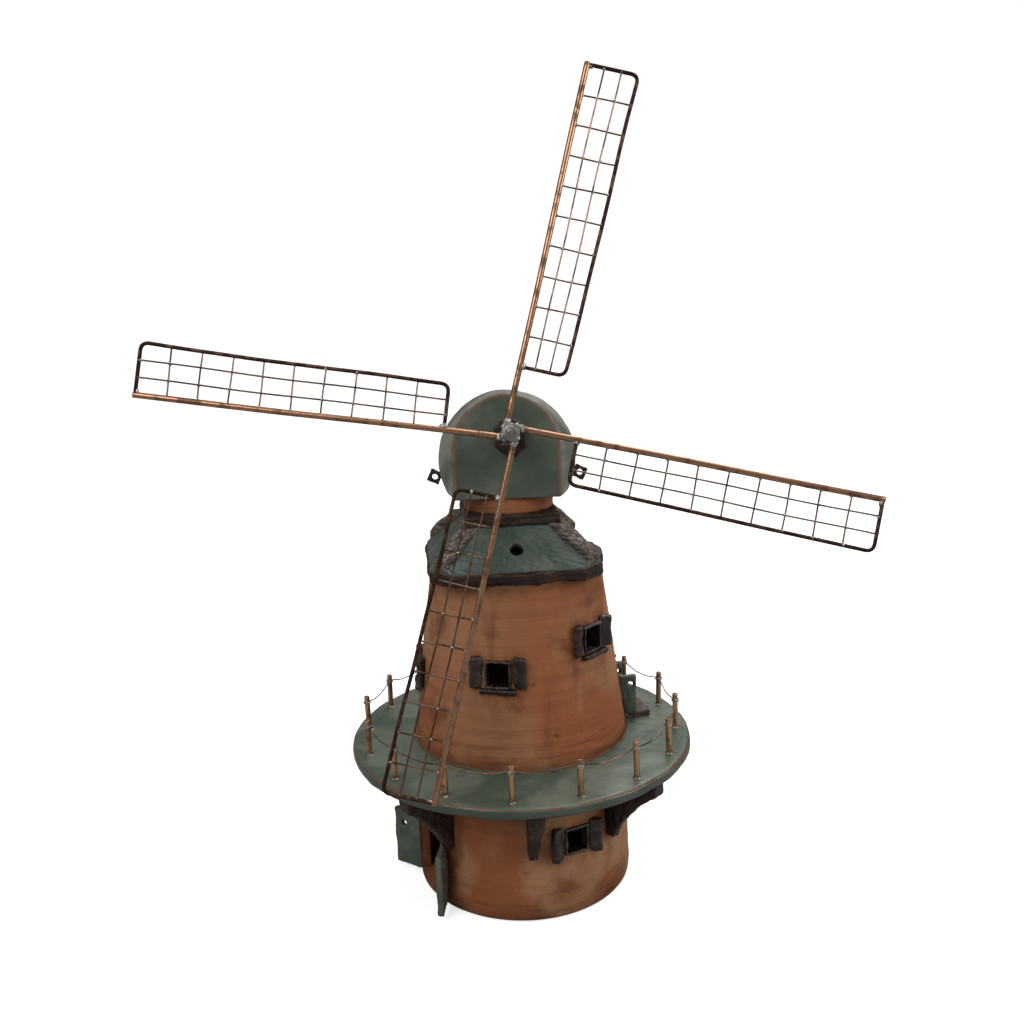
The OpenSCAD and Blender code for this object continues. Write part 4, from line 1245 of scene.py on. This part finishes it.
@dataclass
class SkirtRoof:
    """The four-sided roof: eaves, panels, ridge beams and the collar."""

    centre: tuple[float, float] = (-4.0, 5.0)
    turn: float = 6.0

    def fibres(self, mesh: bpy.types.Mesh, corners: bool) -> None:
        """Runs the grain out along each corner beam, or along each straight side.

        Args:
            mesh: The beams' mesh.
            corners: Whether the beams lie on the corners.
        """
        p = points_of(mesh) - [*self.centre, 0]
        turn = np.degrees(np.arctan2(p[:, 0], -p[:, 1])) - self.turn
        start = 45 if corners else 0
        nearest = np.round((turn - start) / 90) * 90 + start + self.turn
        out = outwards(nearest)
        side = np.stack([-out[:, 1], out[:, 0], 0 * nearest], -1)
        along = np.einsum("ij,ij->i", p, out if corners else side)
        across = np.einsum("ij,ij->i", p, side if corners else out)
        give_fibres(mesh, along, across, p[:, 2] + nearest)

    def make(self, shop: Workshop, paint: Palette) -> None:
        """Builds the eaves, panels, ridges and collar."""
        eaves = softened("skirt_eaves", 1.0, 6, 0.55, 17, 0.4, 51)
        self.fibres(eaves, False)
        shop.add("roof_eaves_beams", eaves, Body.MILL, Slot.BROWN_CLAY, paint.eaves_clay,
                 "skirt_eaves")
        for seed, side in enumerate(("front", "right", "back", "left"), 52):
            shop.add(f"roof_slab_{side}", softened(f"skirt_panel_{side}", 0.9, 4, 0.35, 22, 0.2,
                                                   seed),
                     Body.MILL, Slot.GREEN_GLAZE, paint.roof_glaze, f"skirt_panel_{side}")
        ridges = softened("skirt_ridges", 0.65, 6, 0.45, 13, 0.5, 56)
        self.fibres(ridges, True)
        shop.add("roof_ridge_beams", ridges, Body.MILL, Slot.BROWN_CLAY, paint.combed_clay,
                 "skirt_ridges")
        collar = softened("skirt_collar", 0.8, 7, 0.5, 15, 0.35, 57)
        self.fibres(collar, False)
        shop.add("roof_collar_beams", collar, Body.MILL, Slot.BROWN_CLAY, paint.collar_clay,
                 "skirt_collar")


@dataclass
class Cap:
    """The neck, the domed cap with its flat front, the lugs and the shaft's boss."""

    hub: tuple[float, float, float] = (-0.5, -84.0, 355.5)
    slope: float = 12.3
    bore: float = 3.35
    bore_reach: float = 3.9
    arch_x: float = -4.0
    arch_z: float = 338.0
    arch_r: float = 37.5
    front_y: float = -29.0

    def dome(self) -> bpy.types.Mesh:
        """The shell and its flat front run together. Two attributes mark the glaze: the first
        is 1 on the flat front, where shade is painted on the glaze, and bared is
        exp(-(d / 1.3)^2) at a distance d from the arch that edges it, which is a half circle
        on two upright sides."""
        mesh = softened(("cap_shell", "cap_front"), 0.9, 3, 0.3, 30, 0.0, 62)
        p = points_of(mesh)
        x, rise = p[:, 0] - self.arch_x, p[:, 2] - self.arch_z
        outline = np.where(rise > 0, np.hypot(x, rise), np.abs(x)) - self.arch_r
        ahead = p[:, 1] - self.front_y
        # Painted shade on the flat front: 1 there, fading at its edges.
        give_value(mesh, "face", np.clip(1 - (ahead - 0.2) / 1.0, 0, 1)
                   * np.clip((-outline - 0.6) / 1.0, 0, 1))
        give_value(mesh, "bared", np.exp(-(outline ** 2 + ahead ** 2) / 1.3 ** 2))
        return mesh

    def boss(self) -> bpy.types.Mesh:
        """A softened boss whose bore is opened: points near the shaft's line move out to
        the bore's radius."""
        mesh = softened("shaft_boss", 0.6, 8, 0.55, 9, 0.3, 65)
        p = points_of(mesh)
        lean = math.radians(self.slope)
        line = np.array([0, math.cos(lean), -math.sin(lean)])
        away = p - self.hub
        away -= (away @ line)[:, None] * line
        distance = np.linalg.norm(away, axis=1)
        wanted = np.where(distance < self.bore_reach, self.bore, distance)
        set_points(mesh, p + away / distance[:, None] * (wanted - distance)[:, None])
        return mesh

    def make(self, shop: Workshop, paint: Palette) -> None:
        """Builds the neck, shell, front, floor, lugs and boss."""
        shop.add("neck_ring", softened("neck", 0.9, 3, 0.3, 20, 0.2, 61), Body.MILL,
                 Slot.TERRACOTTA, paint.neck_clay, "neck")
        shop.dress("cap_floor", paint.cap_glaze)
        shop.add("cap_dome", self.dome(), Body.MILL, Slot.GREEN_GLAZE, paint.cap_glaze,
                 "cap_shell", "cap_front")
        for side, seed in (("left", 66), ("right", 67)):
            shop.add(f"cap_lug_plate_{side}", softened(f"cap_lug_{side}", 0.35, 5, 0.2, 6, 0.2,
                                                       seed),
                     Body.MILL, Slot.BROWN_CLAY, paint.dark_clay, f"cap_lug_{side}")
        shop.add("shaft_boss_lump", self.boss(), Body.MILL, Slot.BROWN_CLAY, paint.bracket_clay,
                 "shaft_boss")


# ---------------------------------------------------------------- the rotor


@dataclass
class Sail:
    """One sail: a tube arm with a bent-wire frame and lattice on its clockwise side."""

    seed: int
    length: float = 245.5
    offset: float = 3.5
    start: float = 43.0
    inner_w: float = 29.6
    outer_w: float = 34.4
    arm_r: float = 2.0
    arm_wall: float = 0.7
    wire_r: float = 1.3
    lattice_r: float = 0.6
    across: int = 3
    along: int = 10

    @property
    def tip(self) -> float:
        """Where the middle of the outer wire crosses the arm's end."""
        return self.length - self.wire_r

    def width(self, x: np.ndarray | float) -> np.ndarray | float:
        """Width of the frame at a distance from the hub."""
        return self.inner_w + (self.outer_w - self.inner_w) * (x - self.start) / (
            self.tip - self.start)

    def settle(self, points: np.ndarray) -> np.ndarray:
        """Bends the sail a little: each point moves across and out of the plane by half
        a millimetre of slow waves that are nothing at the hub and at the tip."""
        x = points[..., 0]
        hold = np.sin(np.pi * np.clip(x / self.length, 0, 1))
        moved = points.copy()
        moved[..., 1] += 0.35 * hold * np.sin(x / 47 + self.seed)
        moved[..., 2] += 0.45 * hold * np.sin(x / 61 + 2.1 * self.seed)
        return moved

    def arm(self) -> Surface:
        """A tube round the X axis: the loop of outer wall, rounded lip, bore and lip is
        turned round it, and the bend is added."""
        x = np.linspace(4.5, self.length - 0.3, 70)
        r, bore = self.arm_r, self.arm_r - self.arm_wall
        outer = np.stack([np.full(70, r), x], -1)
        inner = np.stack([np.full(70, bore), x[::-1]], -1)
        lip = np.array([(r - 0.12, self.length - 0.06), ((r + bore) / 2, self.length),
                        (bore + 0.1, self.length - 0.08)])
        loop = turned(np.vstack([outer, lip, inner]), 16, wrap=True)
        return Surface(self.settle(loop.points[:, [2, 0, 1]]), loop.quads, loop.tris)

    def bent(self, corners: Sequence[tuple[float, float]], radius: float) -> np.ndarray:
        """A flat path through corners, each rounded by a parabola that leaves one side
        and joins the next a radius away from the corner."""
        pts = np.array([(x, y, 0.0) for x, y in corners])
        t = np.linspace(0, 1, 7)[:, None]
        path = [pts[:1]]
        for before, corner, after in zip(pts[:-2], pts[1:-1], pts[2:]):
            a = corner + (before - corner) / np.linalg.norm(before - corner) * radius
            b = corner + (after - corner) / np.linalg.norm(after - corner) * radius
            run = np.linspace(0, 1, max(2, int(np.linalg.norm(a - path[-1][-1]) / 6)))[1:-1, None]
            path += [path[-1][-1] * (1 - run) + a * run,
                     (1 - t) ** 2 * a + 2 * t * (1 - t) * corner + t ** 2 * b]
        run = np.linspace(0, 1, 6)[1:, None]
        path.append(path[-1][-1] * (1 - run) + pts[-1] * run)
        return np.vstack(path)

    def frame_wire(self) -> Surface:
        """The thick outer wire, from the arm round both bends and back to the arm."""
        path = self.bent([(self.start, -1.2), (self.start, -self.inner_w),
                          (self.tip, -self.outer_w), (self.tip, -1.2)], 5.5)
        path[:, 1:2] += 0.25 * sway(path, 70, self.seed)[:, None] * (path[:, 1:2] < -8)
        return tube(self.settle(path), self.wire_r, (0, 0, 1), 12)

    def crossings(self) -> tuple[np.ndarray, np.ndarray]:
        """Distances of the crosswise wires and shares across of the lengthwise ones."""
        return (self.start + (self.tip - self.start) * np.arange(1, self.along) / self.along,
                np.arange(1, self.across) / self.across)

    def lattice(self) -> Surface:
        """The thin wires, the lengthwise ones in front of the crosswise ones, each with
        a slight bow."""
        far, shares = self.crossings()
        wires = []
        for k, share in enumerate(shares):
            x = np.linspace(self.start, self.tip, 60)
            path = np.stack([x, -self.width(x) * share, 0 * x + 0.4], -1)
            path[:, 1] += 0.22 * np.sin(x / 17 + self.seed + k)
            wires.append(tube(self.settle(path), self.lattice_r, (0, 0, 1), 7))
        for k, x in enumerate(far):
            y = np.linspace(-0.8, -self.width(x), 10)
            path = np.stack([x + 0.25 * np.sin(y / 9 + 1.7 * k + self.seed), y, 0 * y - 0.4], -1)
            wires.append(tube(self.settle(path), self.lattice_r, (0, 0, 1), 7))
        return joined(wires)

    def solder(self) -> Surface:
        """Lumps of solder where wires cross each other, the frame and the arm."""
        rng = np.random.default_rng(self.seed)
        far, shares = self.crossings()
        x, s = np.meshgrid(far, shares)
        inner = np.stack([x.ravel(), -(self.width(x) * s).ravel(), 0 * x.ravel()], -1)
        on_arm = np.stack([far, 0 * far - 1.7, 0 * far], -1)
        on_edge = np.stack([far, -self.width(far) + 0.3, 0 * far], -1)
        ends = np.array([(e, -self.width(e) * s_, 0) for e in (self.start, self.tip - 0.4)
                         for s_ in shares])
        feet = np.array([(self.start + 0.3, -2.2, 0), (self.tip - 1.2, -2.4, 0)])
        centres = np.vstack([inner, on_arm, on_edge, ends, feet])
        sizes = np.vstack([np.tile([1.15, 1.15, 1.0], (len(inner), 1)),
                           np.tile([1.5, 1.1, 1.1], (len(on_arm), 1)),
                           np.tile([1.4, 1.3, 1.25], (len(on_edge), 1)),
                           np.tile([1.4, 1.4, 1.3], (len(ends), 1)),
                           [[2.6, 2.2, 1.9], [1.3, 2.6, 1.8]]])
        keep = np.concatenate([np.ones(len(inner), bool), rng.random(len(on_arm)) < 0.8,
                               rng.random(len(on_edge)) < 0.85,
                               np.ones(len(ends) + len(feet), bool)])
        sizes *= rng.uniform(0.72, 1.12, (len(sizes), 1)) * rng.uniform(0.9, 1.1, sizes.shape)
        turn = rng.uniform(-0.5, 0.5, len(centres))
        turns = np.tile(np.eye(3), (len(centres), 1, 1))
        turns[:, 0, 0] = turns[:, 1, 1] = np.cos(turn)
        turns[:, 0, 1], turns[:, 1, 0] = -np.sin(turn), np.sin(turn)
        return lumps(self.settle(centres[keep]), sizes[keep], turns[keep], self.seed)


@dataclass
class Rotor:
    """The sloping shaft, the soldered hub and the four sails."""

    hub: tuple[float, float, float] = (-0.5, -84.0, 355.5)
    slope: float = 12.3
    hub_w: float = 12.0
    hub_t: float = 10.0
    shaft_r: float = 3.0
    shaft_end: float = 77.5
    sails: tuple[tuple[str, float], ...] = (("up", 75.6), ("left", 171.6), ("down", 255.7),
                                            ("right", -12.9))

    def place(self, surface: Surface, angle: float = 0, offset: float = 0) -> Surface:
        """Puts a part on the shaft: turned by an angle in the rotor's plane, then leant
        back by the slope and moved to the hub.

        Args:
            surface: The part, +X outwards along a sail and +Z out of the front.
            angle: Turn in the rotor's plane, in degrees.
            offset: Distance that the part lies beside the hub's middle.

        Returns:
            The part in the frame of the mill.
        """
        a, lean = math.radians(angle), math.radians(self.slope)
        turn = np.array([[math.cos(a), -math.sin(a), 0], [math.sin(a), math.cos(a), 0],
                         [0, 0, 1]])
        plane = np.array([[1, 0, 0], [0, math.sin(lean), -math.cos(lean)],
                          [0, math.cos(lean), math.sin(lean)]])
        whole = plane @ turn
        return surface.moved(whole, whole @ np.array([0, offset, 0]) + self.hub)

    def block(self) -> Surface:
        """The hub: a box with rounded edges, |x|^9 + |y|^9 + |z|^9 = 1 scaled to size,
        with dents of a tenth of a millimetre or two."""
        tilt = np.linspace(-np.pi / 2 + 0.02, np.pi / 2 - 0.02, 56)[:, None]
        angle = np.linspace(-np.pi, np.pi, 112, endpoint=False)[None]
        ray = np.stack([np.cos(tilt) * np.cos(angle), np.cos(tilt) * np.sin(angle),
                        np.sin(tilt) + 0 * angle], -1)
        reach = (np.abs(ray) ** 9).sum(-1, keepdims=True) ** (-1 / 9)
        made = grid(ray * reach * [self.hub_w / 2, self.hub_w / 2, self.hub_t / 2])
        made.points *= (1 + 0.018 * sway(made.points, 6, 71))[:, None]
        return self.place(made, self.sails[0][1])

    def bolt(self) -> Surface:
        """A low-domed bolt head on a washer, with a turned groove round its top."""
        t = self.hub_t / 2
        profile = [(0.3, t - 1), (4.6, t - 1), (4.65, t + 0.5), (4.45, t + 0.7), (3.8, t + 0.75),
                   (3.65, t + 0.8), (3.67, t + 2.0), (3.5, t + 2.45), (3.1, t + 2.7),
                   (2.65, t + 2.75), (2.5, t + 2.55), (2.3, t + 2.55), (2.15, t + 2.8),
                   (1.4, t + 2.95), (0.3, t + 3.0)]
        return self.place(turned(np.array(profile), 40))

    def shaft(self) -> Surface:
        """The shaft with faint turned grooves and a washer behind the hub."""
        z = np.linspace(-self.shaft_end, -self.hub_t / 2 - 4.2, 90)
        r = self.shaft_r - 0.05 - 0.05 * (np.sin(z * 2.1) > 0.8)
        washer = [(self.shaft_r - 0.05, -9.0), (4.9, -8.9), (5.05, -8.6), (5.05, -7.6),
                  (4.9, -7.4), (3.6, -7.3), (3.5, -6.6), (3.4, -4.0), (0.3, -3.9)]
        rod = np.stack([r, z], -1)
        return self.place(turned(np.vstack([[0.3, z[0] - 0.3], rod, washer]), 32))

    def hub_solder(self) -> Surface:
        """Fillets of solder where each arm enters the hub, and lumps on its corners."""
        made = []
        for k, (_, angle) in enumerate(self.sails):
            a = math.radians(angle)
            turn = np.array([[math.cos(a), -math.sin(a), 0], [math.sin(a), math.cos(a), 0],
                             [0, 0, 1.0]])
            local = np.array([(6.8, 3.5, 0.2), (5.4, -3.0, 3.2), (5.8, 5.2, 1.5)])
            sizes = np.array([(2.6, 2.7, 2.6), (1.3, 1.6, 1.1), (1.2, 1.1, 1.5)])
            made.append(lumps(local @ turn.T, sizes, np.tile(turn, (3, 1, 1)), 72 + k))
        return self.place(joined(made))

    def make(self, shop: Workshop, paint: Palette) -> None:
        """Builds the shaft, hub, bolt and sails."""
        shop.add("windshaft_rod", self.shaft(), Body.ROTOR, Slot.SOLDER_STEEL, paint.steel,
                 "windshaft")
        shop.add("hub_casting", self.block(), Body.ROTOR, Slot.SOLDER_STEEL, paint.steel,
                 "hub_block")
        shop.add("hub_bolt_head", self.bolt(), Body.ROTOR, Slot.SOLDER_STEEL, paint.steel,
                 "hub_bolt")
        shop.add("hub_solder", self.hub_solder(), Body.ROTOR, Slot.SOLDER_STEEL, paint.solder)
        for seed, (name, angle) in enumerate(self.sails, 3):
            sail = Sail(seed)
            for piece, surface, slot, finish, stands_for in (
                    (f"arm_tube_{name}", sail.arm(), Slot.COPPER, paint.copper,
                     [f"sail_arm_{name}"]),
                    (f"frame_wire_{name}", sail.frame_wire(), Slot.DARK_COPPER,
                     paint.dark_copper, [f"sail_frame_{name}"]),
                    (f"lattice_wires_{name}", sail.lattice(), Slot.DARK_COPPER,
                     paint.lattice, []),
                    (f"solder_lumps_{name}", sail.solder(), Slot.SOLDER_STEEL,
                     paint.solder, [])):
                shop.add(piece, self.place(surface.outward(), angle, sail.offset), Body.ROTOR,
                         slot, finish, *stands_for)


# ---------------------------------------------------------------- the studio


@dataclass
class Studio:
    """The pale floor, the soft lights and the camera."""

    camera_at: tuple[float, float, float] = (0.0, -0.7272, 0.4354)
    pitch: float = 0.203
    pan: float = -0.002
    roll: float = -0.033
    lens: float = 35.16
    lift: float = 0.65

    def floor(self) -> None:
        """A sheet that runs flat under the mill and curves up behind it: flat to 1.6 m,
        a quarter circle of 1.2 m radius, then upright."""
        bend = np.linspace(0, np.pi / 2, 16)
        line = np.vstack([[(-3000, 0), (0, 0)],
                          np.stack([1600 + 1200 * np.sin(bend), 1200 - 1200 * np.cos(bend)], -1),
                          [(2800, 3600)]])
        across = np.linspace(-3500, 3500, 12)
        y, x = np.meshgrid(line[:, 0], across, indexing="ij")
        z = np.broadcast_to(line[:, 1:], x.shape)
        points = np.stack([x, y, z - 0.05], -1)
        index = np.arange(x.size).reshape(x.shape)
        quads = np.stack([index[:-1, :-1], index[:-1, 1:], index[1:, 1:], index[1:, :-1]], -1)
        mesh = mesh_of("floor", Surface(points.reshape(-1, 3), quads.reshape(-1, 4)))
        made = bpy.data.materials.new("floor")
        made.use_nodes = True
        shader = made.node_tree.nodes["Principled BSDF"]
        w = Wiring(made.node_tree)
        seen = w.node("LightPath").outputs["Is Camera Ray"]
        w.feed(shader.inputs["Base Color"], w.blend(seen, (0.40, 0.39, 0.38),
                                                    (0.88, 0.88, 0.88)))
        shader.inputs["Emission Color"].default_value = (1, 1, 1, 1)
        w.feed(shader.inputs["Emission Strength"], w.sum("MULTIPLY", seen, self.lift))
        shader.inputs["Roughness"].default_value = 0.9
        shader.inputs["Specular IOR Level"].default_value = 0.1
        mesh.materials.append(made)
        piece = bpy.data.objects.new("floor", mesh)
        bpy.context.scene.collection.objects.link(piece)

    def light(self, name: str, at: Sequence[float], size: float, power: float) -> None:
        """One square soft light aimed at the middle of the mill."""
        data = bpy.data.lights.new(name, "AREA")
        data.shape, data.size, data.energy = "SQUARE", size, power
        made = bpy.data.objects.new(name, data)
        made.location = at
        made.rotation_mode = "QUATERNION"
        made.rotation_quaternion = (Vector(at) - Vector((0, 0, 0.25))).to_track_quat("Z", "Y")
        bpy.context.scene.collection.objects.link(made)

    def camera(self) -> None:
        """The camera, from its pitch, pan and roll in radians."""
        forward = Vector((math.sin(self.pan) * math.cos(self.pitch),
                          math.cos(self.pan) * math.cos(self.pitch), -math.sin(self.pitch)))
        right = Vector((math.cos(self.pan), -math.sin(self.pan), 0))
        up = right.cross(forward)
        x = right * math.cos(self.roll) + up * math.sin(self.roll)
        y = up * math.cos(self.roll) - right * math.sin(self.roll)
        data = bpy.data.cameras.new("camera")
        data.sensor_width, data.lens = 36, self.lens
        made = bpy.data.objects.new("camera", data)
        made.matrix_world = Matrix((x, y, -forward)).transposed().to_4x4()
        made.matrix_world.translation = Vector(self.camera_at)
        bpy.context.scene.collection.objects.link(made)
        bpy.context.scene.camera = made

    def make(self) -> None:
        """Sets up world, floor, lights, camera and a plain colour transform."""
        world = bpy.data.worlds.new("studio")
        world.use_nodes = True
        w = Wiring(world.node_tree)
        back = world.node_tree.nodes["Background"]
        seen = w.node("LightPath").outputs["Is Camera Ray"]
        w.feed(back.inputs["Color"], w.blend(seen, (0.36, 0.36, 0.36), (1.0, 1.0, 1.0)))
        back.inputs["Strength"].default_value = 1.0
        bpy.context.scene.world = world
        bpy.context.scene.view_settings.view_transform = "Standard"
        self.floor()
        self.light("key", (-1.0, -1.3, 1.6), 1.1, 17)
        self.light("top", (0.3, 0.3, 2.1), 1.4, 12)
        self.light("fill", (1.5, -0.6, 1.0), 0.9, 11)
        self.light("back", (0.5, 1.3, 1.6), 1.0, 12)
        self.camera()


def main() -> None:
    """Builds the studio, the mill and the rotor."""
    logging.basicConfig(level=logging.INFO, format="%(message)s")
    Studio().make()
    shop, paint = Workshop(), Palette()
    for part in (Drum(), Gallery(), Railing(), Tower(), SkirtRoof(), Cap(), Rotor()):
        part.make(shop, paint)
    log.info("%d pieces", shop.count)


if __name__ == "__main__":
    main()
